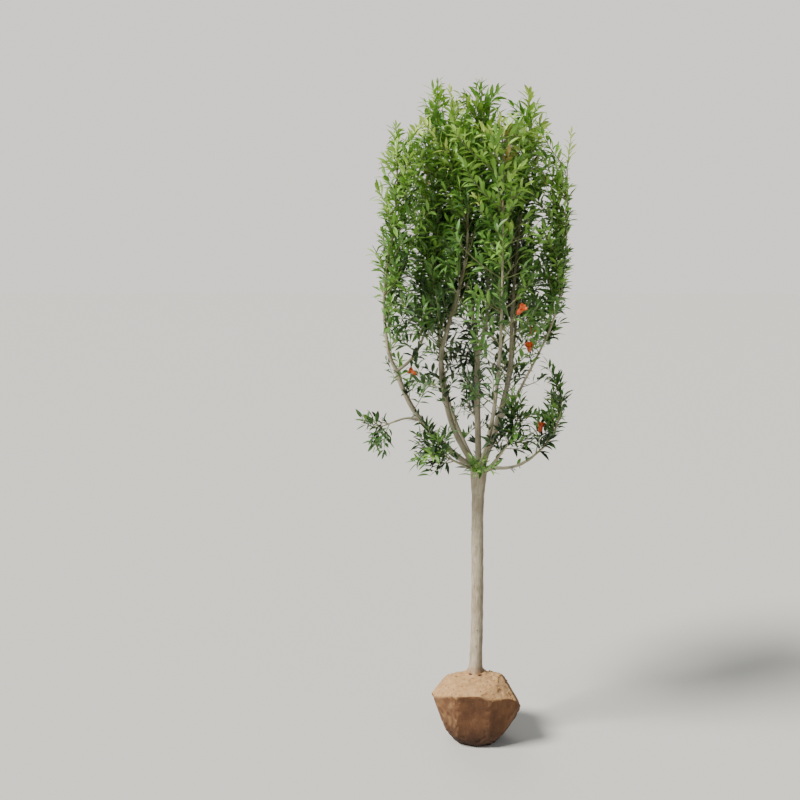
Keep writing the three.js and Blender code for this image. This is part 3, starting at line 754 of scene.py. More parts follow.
for mass in MASSES:
    grown, lift = masses[mass["name"]], mass.get("lift", 0.0)
    stem = grown["twigs"][0]
    for spray in grown["sprays"]:
        add_spray(spray, lift)
    for twig in grown["twigs"][1:]:
        points = points_on(twig)
        shares = spaced(0.14, 0.84, max(int(math.dist(points[0], points[-1]) / 17), 2))
        sizes = [LEAF_LENGTH * chance.uniform(0.75, 1) for _ in shares]
        add_pairs(points, shares, 52, sizes, tone_of(points[-1], lift), chance.uniform(0, 3))
    add_spurs(stem, 0.12 if lift else 0.3, SPUR_SPACING, lift)
    if mass["name"] != "foliage_front":
        add_side_twigs(stem, lift, mass.get("widen", 1))
    if stem[-1].point[2] > WHIP_FROM:
        add_whip(stem)
grow_fill([grown["twigs"][0] for grown in masses.values()])

# Thin twigs, almost bare, that stand off the boughs inside the open lower crown.
BARE_TWIGS = {
    "left": (0.5, 0.74, 0.9), "centre_left": (0.34, 0.52, 0.72, 0.9), "centre": (0.45, 0.62, 0.84),
    "centre_right": (0.5, 0.66, 0.86), "front": (0.55, 0.75, 0.92), "back_left": (0.45, 0.8),
    "back_right": (0.5, 0.82), "right": (0.5, 0.85), "left_inner": (0.6,),
}
for name, shares in BARE_TWIGS.items():
    for share in shares:
        add_bare_twig(station_at(limbs["bough_" + name], share))

# Tufts on the bare boughs, where the photograph shows them: the shares of the bough between which they
# stand, and their spacing.
TUFTS = {
    "centre_left": (0.55, 0.8, 9), "left": (0.3, 0.95, 70), "centre_right": (0.5, 1, 60),
    "front": (0.35, 1, 34), "low_right": (0.3, 1, 30), "back_left": (0.5, 1, 50),
    "back_right": (0.5, 1, 50), "low_left": (0.3, 1, 24), "low_front": (0.3, 1, 24),
    "low_back": (0.4, 1, 34),
}
for name, (start_share, end_share, spacing) in TUFTS.items():
    line = limbs["bough_" + name]
    first = int(start_share * (len(line) - 1))
    last = max(math.ceil(end_share * (len(line) - 1)), first + 1)
    add_spurs(line[first:last + 1], 0, spacing, 0.1)


BARE_STEM = (1300, 1800)  # the heights between which two stems show bare in front
STEM_SIGHT = 17  # half the width that is kept clear before them
FLOWER_SIGHT = 22
FLOWERS_IN_FRONT = 60  # how far back such a flower may stand
LEAVES_ABOVE = FORK - 10  # how low leaves are seen before the stem, and at its sides
SIDE_LEAVES_ABOVE = FORK - 34
SIDE_LEAVES_FROM = 130


def before_stem(points, name):
    """Which points hide a mass's lower stem, which shows bare in the photograph."""
    stem = np.array(points_on(stems[name]))
    height = points[:, 2]
    x, y = (np.interp(height, stem[:, 2], stem[:, i]) for i in (0, 1))
    sight = EYE[0] + (x - EYE[0]) * (points[:, 1] - EYE[1]) / (y - EYE[1])
    shown = (height > BARE_STEM[0]) & (height < BARE_STEM[1])
    return shown & (points[:, 1] < y + 6) & (abs(points[:, 0] - sight) < STEM_SIGHT)


def before_flowers(points):
    """Which points hide one of the low flowers in front, seen from the camera."""
    hidden = np.zeros(len(points), bool)
    away = points - EYE
    for station in (flower for grown in masses.values() for flower in grown["flowers"]):
        flower = station.point + station.along * FLOWER_LENGTH * 0.35
        if flower[1] > FLOWERS_IN_FRONT or flower[2] > OPEN_BELOW:
            continue
        sight = unit(flower - EYE)
        along = away @ sight
        across = np.linalg.norm(away - along[:, None] * sight, axis=1)
        hidden |= (along < math.dist(flower, EYE)) & (across < FLOWER_SIGHT)
    return hidden


def leaf_arrays():
    """The leaves as arrays, less those that would run into a limb, the ball or far past the crown."""
    root, along, face, length, tone = (np.array(values) for values in leaves.values())
    middles, ends = (root + along * length[:, None] * share for share in (0.5, 1.0))
    keep = np.ones(len(root), bool)
    for points in (root + along * length[:, None] * 0.55, ends):
        for first in range(0, len(points), 2000):
            part = slice(first, first + 2000)
            keep[part] &= room_from_limbs(points[part]) > LEAF_ROOM
    for points in (middles, ends):
        keep &= ~(before_stem(points, "foliage_centre_left") | before_stem(points, "foliage_centre_right"))
        keep &= ~before_flowers(points)
    # Leaves that hang before the bare stem go, seen from the camera, apart from a few at the sides.
    near = np.minimum(ends[:, 1], 0)
    seen = ends[:, 2] + (EYE[2] - ends[:, 2]) * near / (near - EYE[1])
    beside = np.hypot(ends[:, 0], ends[:, 1]) > SIDE_LEAVES_FROM
    keep &= (seen > LEAVES_ABOVE) | (beside & (seen > SIDE_LEAVES_ABOVE))
    low, high = np.array(cad_box[0]) / MM - PAST_BOX, np.array(cad_box[1]) / MM + PAST_BOX
    keep &= ((ends > low) & (ends < high)).all(axis=1)
    return root[keep], along[keep], face[keep], length[keep], tone[keep]


# Meshes
def put(name, mesh, *, smooth=True):
    mesh.polygons.foreach_set("use_smooth", np.full(len(mesh.polygons), smooth))
    return linked(name, mesh)


def mesh_of_arrays(name, points, triangles):
    """Points in millimetres and rows of three corners, as a mesh in metres."""
    mesh = bpy.data.meshes.new(name)
    mesh.vertices.add(len(points))
    mesh.vertices.foreach_set("co", (points * MM).astype(np.float32).ravel())
    mesh.loops.add(triangles.size)
    mesh.loops.foreach_set("vertex_index", triangles.astype(np.int32).ravel())
    mesh.polygons.add(len(triangles))
    mesh.polygons.foreach_set("loop_start", np.arange(0, triangles.size, 3, dtype=np.int32))
    mesh.update(calc_edges=True)
    return mesh


def shape_of(bm, name):
    mesh = bpy.data.meshes.new(name)
    bm.to_mesh(mesh)
    bm.free()
    return mesh


def store(mesh, **layers):
    """Values for each point, as attributes that the materials read."""
    for name, values in layers.items():
        values = np.asarray(values, np.float32)
        layer = mesh.attributes.new(name, "FLOAT" if values.ndim == 1 else "FLOAT_VECTOR", "POINT")
        layer.data.foreach_set("value" if values.ndim == 1 else "vector", values.ravel())


def vectors_of(items, key):
    values = np.empty(len(items) * 3, np.float32)
    items.foreach_get(key, values)
    return values.reshape(-1, 3).astype(float)


def move_points(mesh, points):
    mesh.vertices.foreach_set("co", points.astype(np.float32).ravel())
    mesh.update()


def first_ring(bm, sides, radius, matrix):
    """The corners and edges of a closed circle."""
    made = bmesh.ops.create_circle(bm, cap_ends=True, segments=sides, radius=radius, matrix=matrix)
    verts = made["verts"]
    return verts, list(dict.fromkeys(edge for vert in verts for edge in vert.link_edges))


def next_ring(bm, edges):
    """The corners and edges of the ring that a ring of edges is drawn out to."""
    made = bmesh.ops.extrude_edge_only(bm, edges=edges)["geom"]
    verts = [part for part in made if isinstance(part, bmesh.types.BMVert)]
    return verts, [part for part in made if isinstance(part, bmesh.types.BMEdge)
                   and part.verts[0] in verts and part.verts[1] in verts]


def finished(obj, nodes, material):
    obj.data.materials.append(material)
    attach(obj, "root")
    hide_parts(*nodes)


# Nodes
def colour(r, g, b):
    """A colour as the eye names it, 0 to 255, made linear."""
    rgb = (c / 3294.6 if c <= 10 else ((c / 255 + 0.055) / 1.055) ** 2.4 for c in (r, g, b))
    return (*rgb, 1.0)


def node(tree, kind, values=(), **settings):
    """A node whose inputs are set to plain values or wired from sockets."""
    made = tree.nodes.new(kind)
    for key, value in settings.items():
        setattr(made, key, value)
    for key, value in dict(values).items():
        if isinstance(value, bpy.types.NodeSocket):
            tree.links.new(value, made.inputs[key])
        else:
            made.inputs[key].default_value = value
    return made


def stored(tree, name, kind="Fac"):
    return node(tree, "ShaderNodeAttribute", attribute_name=name).outputs[kind]


def shader_of(name, base, roughness, **values):
    made = bpy.data.materials.new(name)
    made.use_nodes = True
    shader = made.node_tree.nodes["Principled BSDF"]
    shader.inputs["Base Color"].default_value = colour(*base)
    shader.inputs["Roughness"].default_value = roughness
    for key, value in values.items():
        shader.inputs[key.replace("_", " ")].default_value = value
    return made, made.node_tree, shader


def noise_on(tree, vector, scale, detail=3.0, roughness=0.5, stretch=None):
    if stretch:
        vector = node(tree, "ShaderNodeMapping", {"Vector": vector, "Scale": stretch}).outputs["Vector"]
    return node(tree, "ShaderNodeTexNoise", {"Vector": vector, "Scale": scale, "Detail": detail,
                                             "Roughness": roughness}).outputs["Fac"]


def cells_on(tree, vector, scale):
    """How far each point is from the middle of its own cell."""
    values = {"Vector": vector, "Scale": scale, "Randomness": 1.0}
    return node(tree, "ShaderNodeTexVoronoi", values).outputs["Distance"]


def ramp(tree, value, low, high):
    """A value spread so that `low` is 0 and `high` is 1."""
    values = {"Value": value, "From Min": low, "From Max": high}
    return node(tree, "ShaderNodeMapRange", values).outputs["Result"]


def blend(tree, share, a, b):
    """Colour a where share is 0 and b where it is 1. Either may be a plain colour or a socket."""
    a, b = (colour(*value) if isinstance(value, tuple) else value for value in (a, b))
    return node(tree, "ShaderNodeMix", {0: share, 6: a, 7: b}, data_type="RGBA").outputs[2]


def reckoned(tree, operation, a, b):
    return node(tree, "ShaderNodeMath", {0: a, 1: b}, operation=operation).outputs[0]


def sum_of(tree, *terms):
    """Values times their weights, added up."""
    total = None
    for value, weight in terms:
        part = reckoned(tree, "MULTIPLY", value, weight)
        total = part if total is None else reckoned(tree, "ADD", total, part)
    return total


def finish_of(tree, shader, tone, height, distance, strength):
    """The shader's colour and its relief."""
    tree.links.new(tone, shader.inputs["Base Color"])
    bump = node(tree, "ShaderNodeBump", {"Strength": strength, "Distance": distance, "Height": height})
    tree.links.new(bump.outputs["Normal"], shader.inputs["Normal"])


PORE_COLOUR = (214, 204, 182)
SOIL_COLOUR = (172, 134, 96)
# The colour of old twig scars, also used for the painted shade on the limbs' sides that face +x.
SCAR_AND_SHADE_COLOUR = (66, 54, 42)


def bark_grain():
    """Streaks, blotches, pores and relief that follow the wood, from its straightened coordinates."""
    group = bpy.data.node_groups.new("bark_grain", "ShaderNodeTree")
    group.interface.new_socket("Wood", in_out="INPUT", socket_type="NodeSocketVector")
    for name in ("Streaks", "Blotches", "Pores", "Height"):
        group.interface.new_socket(name, in_out="OUTPUT", socket_type="NodeSocketFloat")
    wood = group.nodes.new("NodeGroupInput").outputs["Wood"]
    streaks = noise_on(group, wood, 260, 4, 0.6, (1, 1, 0.1))
    fine = noise_on(group, wood, 900, 2, 0.5, (1, 1, 0.3))
    blotches = noise_on(group, wood, 34, 4, 0.62, (1, 1, 0.6))
    squat = node(group, "ShaderNodeMapping", {"Vector": wood, "Scale": (1, 1, 1.7)})
    pores = ramp(group, cells_on(group, squat.outputs["Vector"], 150), 0.2, 0.08)
    node(group, "NodeGroupOutput", {
        "Streaks": ramp(group, streaks, 0.32, 0.68), "Blotches": ramp(group, blotches, 0.35, 0.65),
        "Pores": pores, "Height": sum_of(group, (streaks, 0.7), (fine, 0.35), (pores, 0.3))})
    return group


def bark_material(name, grain, pale, dark, green, streak, roughness):
    """Bark that is pale where it is old and green where it is young, by the wood's own age."""
    made, tree, shader = shader_of(name, pale, roughness)
    group = node(tree, "ShaderNodeGroup", node_tree=grain)
    tree.links.new(stored(tree, "wood", "Vector"), group.inputs["Wood"])
    marks = group.outputs
    tone = blend(tree, marks["Blotches"], pale, dark)
    tone = blend(tree, stored(tree, "age"), green, tone)
    # The last layer darkens old twig scars and paints shade on the limbs' sides that face +x.
    for share, over in ((sum_of(tree, (marks["Streaks"], 0.6)), streak),
                        (sum_of(tree, (marks["Pores"], 0.35)), PORE_COLOUR),
                        (stored(tree, "soil"), SOIL_COLOUR), (stored(tree, "scar"), SCAR_AND_SHADE_COLOUR)):
        tone = blend(tree, share, tone, over)
    finish_of(tree, shader, tone, marks["Height"], 0.0011, 0.8)
    return made


def clay_material():
    """Clay: sandier and paler where it is loose, brown and moist where the spade has pressed it; painted
    light makes the tops paler and painted shade makes the sides, the bottom and the pits darker.
    """
    made, tree, shader = shader_of("clay", (160, 118, 80), 0.92)
    place = node(tree, "ShaderNodeTexCoord").outputs["Object"]
    cloud = noise_on(tree, place, 16, 5, 0.6)
    patches = noise_on(tree, place, 62, 4, 0.6)
    grit = noise_on(tree, place, 520, 3, 0.6)
    smears = noise_on(tree, place, 90, 3, 0.6, (1, 1, 0.22))
    # Side colours: moist clay, darkened as painted shade.
    shaded_damp = blend(tree, ramp(tree, cloud, 0.38, 0.62), (96, 62, 38), (122, 83, 52))
    shaded_damp = blend(tree, sum_of(tree, (ramp(tree, smears, 0.4, 0.66), 0.35)), shaded_damp, (78, 48, 30))
    # Darker towards the bottom and in the pits, partly moist soil and partly painted shade.
    shaded_damp = blend(tree, stored(tree, "wet"), shaded_damp, (40, 21, 11))
    # Top colours: loose clay, paler as painted light.
    lit_sandy = blend(tree, ramp(tree, patches, 0.35, 0.65), (212, 172, 120), (184, 140, 92))
    share = ramp(tree, sum_of(tree, (stored(tree, "dry"), 1.0), (patches, 0.35)), 0.4, 0.92)
    tone = blend(tree, share, shaded_damp, lit_sandy)
    tone = blend(tree, sum_of(tree, (ramp(tree, grit, 0.56, 0.4), 0.16)), tone, (104, 70, 44))
    stones = ramp(tree, cells_on(tree, place, 210), 0.15, 0.09)
    stones = reckoned(tree, "MULTIPLY", stones, ramp(tree, patches, 0.55, 0.62))
    tone = blend(tree, stones, tone, (196, 184, 166))
    pressed = sum_of(tree, (patches, 0.5), (smears, 0.5))
    pressed = reckoned(tree, "MULTIPLY", reckoned(tree, "SUBTRACT", 1.0, share), pressed)
    height = sum_of(tree, (grit, 0.5), (patches, 0.25), (pressed, 1.0), (stones, 0.4))
    finish_of(tree, shader, tone, height, 0.0012, 0.7)
    return made


# The spade-cut ball
def cut_planes():
    planes = []
    for lean, height, share, bearings in BALL_CUTS:
        for bearing, reach in bearings:
            point = towards(bearing, 90) * share * reach * BALL_REACH
            point[2] = height
            planes.append((point * MM, towards(bearing, lean)))
    return planes


def block_cut_by(planes):
    bm = bmesh.new()
    wide, tall = 1.3 * BALL_REACH * MM, (BALL_TOP + 2) * MM
    bmesh.ops.create_cone(bm, cap_ends=True, segments=24, radius1=wide, radius2=wide, depth=tall)
    bmesh.ops.translate(bm, verts=bm.verts, vec=(0, 0, tall / 2))
    for point, normal in planes:
        everything = bm.verts[:] + bm.edges[:] + bm.faces[:]
        cut = bmesh.ops.bisect_plane(bm, geom=everything, dist=1e-6, plane_co=point, plane_no=normal,
                                     clear_outer=True)
        rim = [part for part in cut["geom_cut"] if isinstance(part, bmesh.types.BMEdge)]
        if rim:
            bmesh.ops.holes_fill(bm, edges=rim, sides=0)
    for low, high, foot, head in ((BALL_TOP - MOUND_DEPTH, BALL_TOP - 2, MOUND_FOOT, MOUND_EDGE),
                                  (BALL_TOP - 2, BALL_TOP + MOUND_RISE, MOUND_EDGE, MOUND_TOP)):
        mound = bmesh.ops.create_cone(bm, cap_ends=True, segments=24, radius1=foot * MM,
                                      radius2=head * MM, depth=(high - low) * MM)
        bmesh.ops.translate(bm, verts=mound["verts"], vec=(0, 0, (low + high) / 2 * MM))
    bmesh.ops.recalc_face_normals(bm, faces=bm.faces)
    return shape_of(bm, "block")


def skinned(mesh, voxel, passes):
    """One even skin over all that a mesh holds, smoothed a little."""
    obj = put("under_skin", mesh)
    skin = obj.modifiers.new("skin", "REMESH")
    skin.mode = "VOXEL"
    skin.voxel_size = voxel
    made = bpy.data.meshes.new_from_object(obj.evaluated_get(bpy.context.evaluated_depsgraph_get()))
    bpy.data.objects.remove(obj)
    bm = bmesh.new()
    bm.from_mesh(made)
    for _ in range(passes):
        bmesh.ops.smooth_vert(bm, verts=bm.verts, factor=0.5, use_axis_x=True, use_axis_y=True,
                              use_axis_z=True)
    bm.to_mesh(made)
    bm.free()
    return made


def noise_at(points, scale, seed=0.0):
    return np.array([noise.noise(Vector(p) * scale + Vector((seed, seed * 0.7, -seed))) for p in points])


def smooth_step(x, low, high):
    t = np.clip((x - low) / (high - low), 0, 1)
    return t * t * (3 - 2 * t)


BALL_VOXEL = 0.0026
LIMB_VOXEL = 0.0021
CRUMBS = 300
CRUMB_REACH = 0.135
CRUMB_STEEPEST = 0.55  # the least upward part of the skin's normal on which one lies


def make_ball(clay):
    """The ball's skin: spade cuts with chipped edges, a loose top and two pits at the stem's foot."""
    planes = cut_planes()
    mesh = skinned(block_cut_by(planes), BALL_VOXEL, 2)
    points, normals = vectors_of(mesh.vertices, "co"), vectors_of(mesh.vertex_normals, "vector")
    depths = np.sort([(points - point) @ normal for point, normal in planes], axis=0)
    edge = -depths[-2]  # how far a point stands from the nearest arris
    radius = np.hypot(points[:, 0], points[:, 1])
    top = smooth_step(normals[:, 2], 0.35, 0.75)
    side = 1 - top
    wave, lumps, fine = (noise_at(points, scale, seed) for scale, seed in ((14, 3), (48, 9), (150, 5)))
    marks = noise_at(points * (1, 1, 0.25), 70, 12)
    chips = smooth_step(noise_at(points, 60, 21), 0.05, 0.4) * (1 - smooth_step(edge, 0.002, 0.011))
    chips *= smooth_step(radius, 0.05, 0.075)
    clods = smooth_step(noise_at(points, 60, 31), 0.1, 0.6)
    shift = -0.0032 * smooth_step(edge, 0.001, 0.03) * side
    shift += 0.0016 * wave + 0.0007 * lumps + 0.0006 * marks * side - 0.0032 * chips
    shift += top * (0.0011 * lumps + 0.0013 * clods + 0.0003 * fine) + side * 0.00035 * fine
    shift *= smooth_step(points[:, 2], 0, 0.006)
    shift *= smooth_step(radius, 0.026, 0.045) * 0.8 + 0.2
    turn = np.degrees(np.arctan2(points[:, 1], points[:, 0])) % 360
    pits = sum(np.exp(-((turn - at) / 15) ** 2) for at in (226, 288)) * top
    pits *= np.exp(-((radius - 0.0315) / 0.0045) ** 2)
    points += normals * (shift - 0.003 * pits)[:, None]
    points[points[:, 2] < 0.0012, 2] = 0
    move_points(mesh, points)
    # Paler along the top edges of the cuts, a painted highlight, and on the sides of the loose mound round
    # the stem.
    lit_lip_and_mound = (1 - smooth_step(edge, 0.0, 0.006)) * smooth_step(points[:, 2], 0.15, 0.19)
    lit_lip_and_mound += (1 - smooth_step(radius, 0.05, 0.07)) * smooth_step(points[:, 2], 0.19, 0.2)
    # Painted light: the sides that face left, above the foot, are made paler as if lit.
    painted_left_light = smooth_step(-normals[:, 0], 0.3, 0.7) * smooth_step(points[:, 2], 0.0, 0.1)
    painted_left_light *= 0.18 + 0.09 * lumps
    # Pale on the tops, partly drier loose soil and partly painted light, with the painted light and
    # highlight on the sides.
    dry = top * 0.78 + side * (0.08 + 0.35 * lit_lip_and_mound + painted_left_light) + clods * 0.08 + lumps * 0.12
    # The pits at the stem's foot are darkened as a painted shadow; the lower ball is darker, partly moist
    # soil and partly painted shade.
    dry = dry - chips * 0.2 - pits
    wet = np.maximum((1 - smooth_step(points[:, 2] + 0.03 * wave, 0.0, 0.12)) * 0.96, pits)
    store(mesh, dry=np.clip(dry, 0, 1), wet=np.clip(wet, 0, 1))
    finished(put("clay_ball", mesh), ["root_ball"], clay)
    return BVHTree.FromPolygons([Vector(p) for p in points], [p.vertices[:] for p in mesh.polygons])


def make_crumbs(clay, ball_tree):
    """Loose crumbs that lie on the top of the ball and on its shoulders."""
    bm = bmesh.new()
    chance = random.Random(5)
    count = 0
    while count < CRUMBS:
        bearing, out = chance.uniform(0, math.tau), math.sqrt(chance.uniform(0.02, 1)) * CRUMB_REACH
        above = Vector((math.cos(bearing) * out, math.sin(bearing) * out, 0.4))
        place, normal, _, _ = ball_tree.ray_cast(above, Vector((0, 0, -1)))
        if place is None or normal.z < CRUMB_STEEPEST or math.hypot(place.x, place.y) < 0.03:
            continue
        size = 0.0009 + 0.0028 * chance.random() ** 3
        angle = chance.uniform(0, 6)
        turn = Matrix.Rotation(angle, 4, (chance.random(), chance.random(), chance.random() + 0.1))
        sides = [chance.uniform(*limits) for limits in ((0.8, 1.5), (0.7, 1.2), (0.6, 1))]
        stretch = Matrix.Diagonal(sides + [1])
        spot = Matrix.Translation(place + normal * size * 0.25)
        made = bmesh.ops.create_icosphere(bm, subdivisions=1, radius=size, matrix=spot @ stretch @ turn)
        for vert in made["verts"]:
            vert.co += Vector([chance.uniform(-1, 1) for _ in range(3)]) * size * 0.16
        count += 1
    mesh = shape_of(bm, "clay_crumbs")
    store(mesh, dry=np.full(len(mesh.vertices), 0.72), wet=np.zeros(len(mesh.vertices)))
    finished(put("clay_crumbs", mesh, smooth=False), ["root_ball"], clay)


# The limbs
def smooth_line(line, step):
    """A limb's line drawn through its stations as one curve, in short even steps."""
    points, radii = np.array(points_on(line)), [s.radius for s in line]
    ends = np.vstack((2 * points[0] - points[1], points, 2 * points[-1] - points[-2]))
    made_points, made_radii = [], []
    for i in range(len(points) - 1):
        a, b, c, d = ends[i:i + 4]
        steps = max(round(math.dist(b, c) / step), 1)
        for t in (k / steps for k in range(steps + (i == len(points) - 2))):
            bend = (2 * a - 5 * b + 4 * c - d) * t * t + (3 * b - a - 3 * c + d) * t ** 3
            made_points.append(0.5 * (2 * b + (c - a) * t + bend))
            made_radii.append(radii[i] + (radii[i + 1] - radii[i]) * t)
    return shoot_line(made_points, lambda share: between(made_radii, share))


def placed(station, size):
    """A matrix at a station, its axes `size` long."""
    axes = (station.side, station.across, station.along)
    rows = [[*(axis[i] * size for axis in axes), station.point[i] * MM] for i in range(3)]
    return Matrix(rows + [[0, 0, 0, 1]])


def draw_out(bm, line, sides, grow):
    """A closed round shoot, drawn out ring by ring along its line."""
    frames = [placed(station, (station.radius + grow) * MM) for station in line]
    _, edges = first_ring(bm, sides, 1, frames[0])
    for before, after in zip(frames, frames[1:]):
        verts, edges = next_ring(bm, edges)
        bmesh.ops.transform(bm, matrix=after @ before.inverted(), verts=verts)
    bmesh.ops.contextual_create(bm, geom=edges)


RING_SPACING = 7
TRUNK_SIDES = 32
BOUGH_SIDES = 16
BARK_PROUD = 0.35  # how far the bark stands over the solids
LIMB_SHIFT = 977  # from one limb's grain to the next one's
# Old twig scars on the stem: height, bearing, size, how far each stands out and how dark it is.
KNOTS = [
    (392, 268, 6.5, 1.6, 0.9), (336, 262, 5, 1.0, 0.7), (256, 285, 6, 1.2, 0.8), (452, 300, 7, 1.8, 0.5),
    (548, 238, 6, 1.2, 0.5), (610, 330, 8, 2.2, 0.7), (688, 250, 5, 1.2, 0.6), (745, 200, 8, 2.4, 0.7),
    (790, 305, 7, 2.0, 0.6), (430, 120, 8, 2.2, 0.8), (520, 60, 7, 1.8, 0.7), (660, 95, 7, 2.0, 0.6),
    (830, 150, 8, 2.4, 0.6), (300, 170, 7, 1.6, 0.6), (360, 20, 7, 1.6, 0.6), (868, 275, 7, 2.2, 0.5),
]


def bark_lines():
    """The stem in short rings, from inside the ball, and every bough as a curve."""
    heights = [*np.arange(STEM_FOOT - 14, FORK + STEM_HEAD - 4, RING_SPACING), FORK + STEM_HEAD]
    foot = stem_radius(STEM_FOOT)
    lines = {"trunk": [s._replace(radius=min(s.radius, foot)) for s in upright_line(heights)]}
    for bough in BOUGHS:
        lines[bough["name"]] = smooth_line(limbs[bough["name"]], RING_SPACING)
    return lines


def along_wood(points, lines):
    """Each point's place on its limb, straightened out, the limb's radius and whether it is the stem."""
    rows = [(i, s, t) for i, line in enumerate(lines.values()) for s, t in zip(line, line[1:])]
    a, b = np.array([s.point for _, s, _ in rows]), np.array([t.point for _, _, t in rows])
    thick = np.array([(s.radius + t.radius) / 2 for _, s, t in rows])
    side, across = np.array([s.side for _, s, _ in rows]), np.array([s.across for _, s, _ in rows])
    owner = np.array([i for i, _, _ in rows])
    run = np.concatenate([np.cumsum([0, *steps_of(points_on(line[:-1]))]) for line in lines.values()])
    nearest = np.empty(len(points), int)
    for first in range(0, len(points), 3000):
        part = slice(first, first + 3000)
        nearest[part] = np.argmin(distances(points[part], a, b) - thick, axis=1)
    away = points - a[nearest]
    way = b[nearest] - a[nearest]
    way /= np.linalg.norm(way, axis=1)[:, None]
    wood = np.stack(((away * side[nearest]).sum(1), (away * across[nearest]).sum(1),
                     (away * way).sum(1) + run[nearest] + LIMB_SHIFT * owner[nearest]), axis=1)
    return wood, thick[nearest], owner[nearest] == 0


def make_limbs(bark):
    """The stem and every bough under one skin, with ridges, old twig scars, a buttressed foot and painted
    shade on the sides that face +x.
    """
    lines = bark_lines()
    bm = bmesh.new()
    for name, line in lines.items():
        draw_out(bm, line, TRUNK_SIDES if name == "trunk" else BOUGH_SIDES, BARK_PROUD)
    bmesh.ops.recalc_face_normals(bm, faces=bm.faces)
    mesh = skinned(shape_of(bm, "limbs"), LIMB_VOXEL, 3)
    points, normals = vectors_of(mesh.vertices, "co") / MM, vectors_of(mesh.vertex_normals, "vector")
    wood, reach, trunk = along_wood(points, lines)
    ridges = noise_at(wood * (1, 1, 0.13), 0.2, 4)
    fine = noise_at(wood * (1, 1, 0.3), 0.55, 8)
    lumps = noise_at(points, 0.035, 2)
    shift = np.where(trunk, 0.65, 0.4) * ridges + 0.22 * fine + np.where(trunk, 1.1, 0.45) * lumps
    bearing = np.degrees(np.arctan2(wood[:, 1], wood[:, 0]))
    foot = np.exp(-np.maximum(points[:, 2] - STEM_FOOT, 0) / 15) * trunk
    buttresses = 1.8 * np.cos(np.radians(bearing * 4 + 40)) + np.cos(np.radians(bearing * 7)) - 0.8
    shift += foot * buttresses
    scar = np.zeros(len(points))
    for height, at, size, rise, dark in KNOTS:
        turn = (bearing - at + 180) % 360 - 180
        gap = np.hypot(np.radians(turn) * reach, points[:, 2] - height)
        near = np.where(trunk, gap, 99)
        shift += rise * np.exp(-(near / size) ** 2) - 0.9 * rise * np.exp(-(near / (0.4 * size)) ** 2)
        scar = np.maximum(scar, dark * np.exp(-(near / (0.42 * size)) ** 2))
    # Painted shade: the stem's sides that face +x, and the boughs' more weakly, are darkened as if in
    # shade, stored with the scars.
    painted_shade = smooth_step(normals[:, 0], 0.15, 0.72) * (0.44 + 0.16 * lumps + 0.26 * ridges)
    scar = np.maximum(scar, painted_shade * np.where(trunk, 1, 0.6))
    points += normals * shift[:, None]
    move_points(mesh, points * MM)
    dirt = smooth_step(-points[:, 2], -STEM_FOOT - 30, -STEM_FOOT - 2) * (0.55 + 0.6 * lumps)
    age = np.where(trunk, smooth_step(-points[:, 2], -FORK, -FORK + 170) * 0.45 + 0.55,
                   smooth_step(reach, 3.4, 9.5) * 0.3 + 0.15)
    store(mesh, wood=wood * MM, age=age, scar=np.clip(scar, 0, 1), soil=np.clip(dirt, 0, 1) * trunk)
    finished(put("limbs_under_bark", mesh), list(limbs), bark)


# Shoots, twigs and twiglets
STEM_SIDES = 9
TWIG_SIDES = 6
TWIGLET_SIDES = 4
GRAIN_SHIFT = 900  # no two shoots have the same grain


def tube_arrays(shoots):
    """Joined round shoots. Each is (line, sides, age at both ends, offset of its grain)."""
    points, triangles, wood, age = [], [], [], []
    first = 0
    for line, sides, (old, young), offset in shoots:
        angles = np.arange(sides) / sides * math.tau
        run = 0.0
        for i, station in enumerate(line):
            if i:
                run += math.dist(station.point, line[i - 1].point)
            ring = np.outer(np.cos(angles), station.side) + np.outer(np.sin(angles), station.across)
            points.append(station.point + ring * station.radius)
            wood.append(np.column_stack((np.cos(angles) * station.radius, np.sin(angles) * station.radius,
                                         np.full(sides, run + offset))))
            age.append(np.full(sides, old + (young - old) * i / (len(line) - 1)))
        k = np.arange(sides)
        after = (k + 1) % sides
        for i in range(len(line) - 1):
            low, high = first + i * sides, first + (i + 1) * sides
            triangles.append(np.column_stack((low + k, low + after, high + after)))
            triangles.append(np.column_stack((low + k, high + after, high + k)))
        fan = np.arange(1, sides - 1)
        last = first + (len(line) - 1) * sides
        triangles.append(np.column_stack((np.full(sides - 2, last), last + fan, last + fan + 1)))
        triangles.append(np.column_stack((np.full(sides - 2, first), first + fan + 1, first + fan)))
        first += len(line) * sides
    return np.vstack(points), np.vstack(triangles), np.vstack(wood), np.concatenate(age)


def resized(line, share_at):
    return [station._replace(radius=station.radius * share_at(i)) for i, station in enumerate(line)]


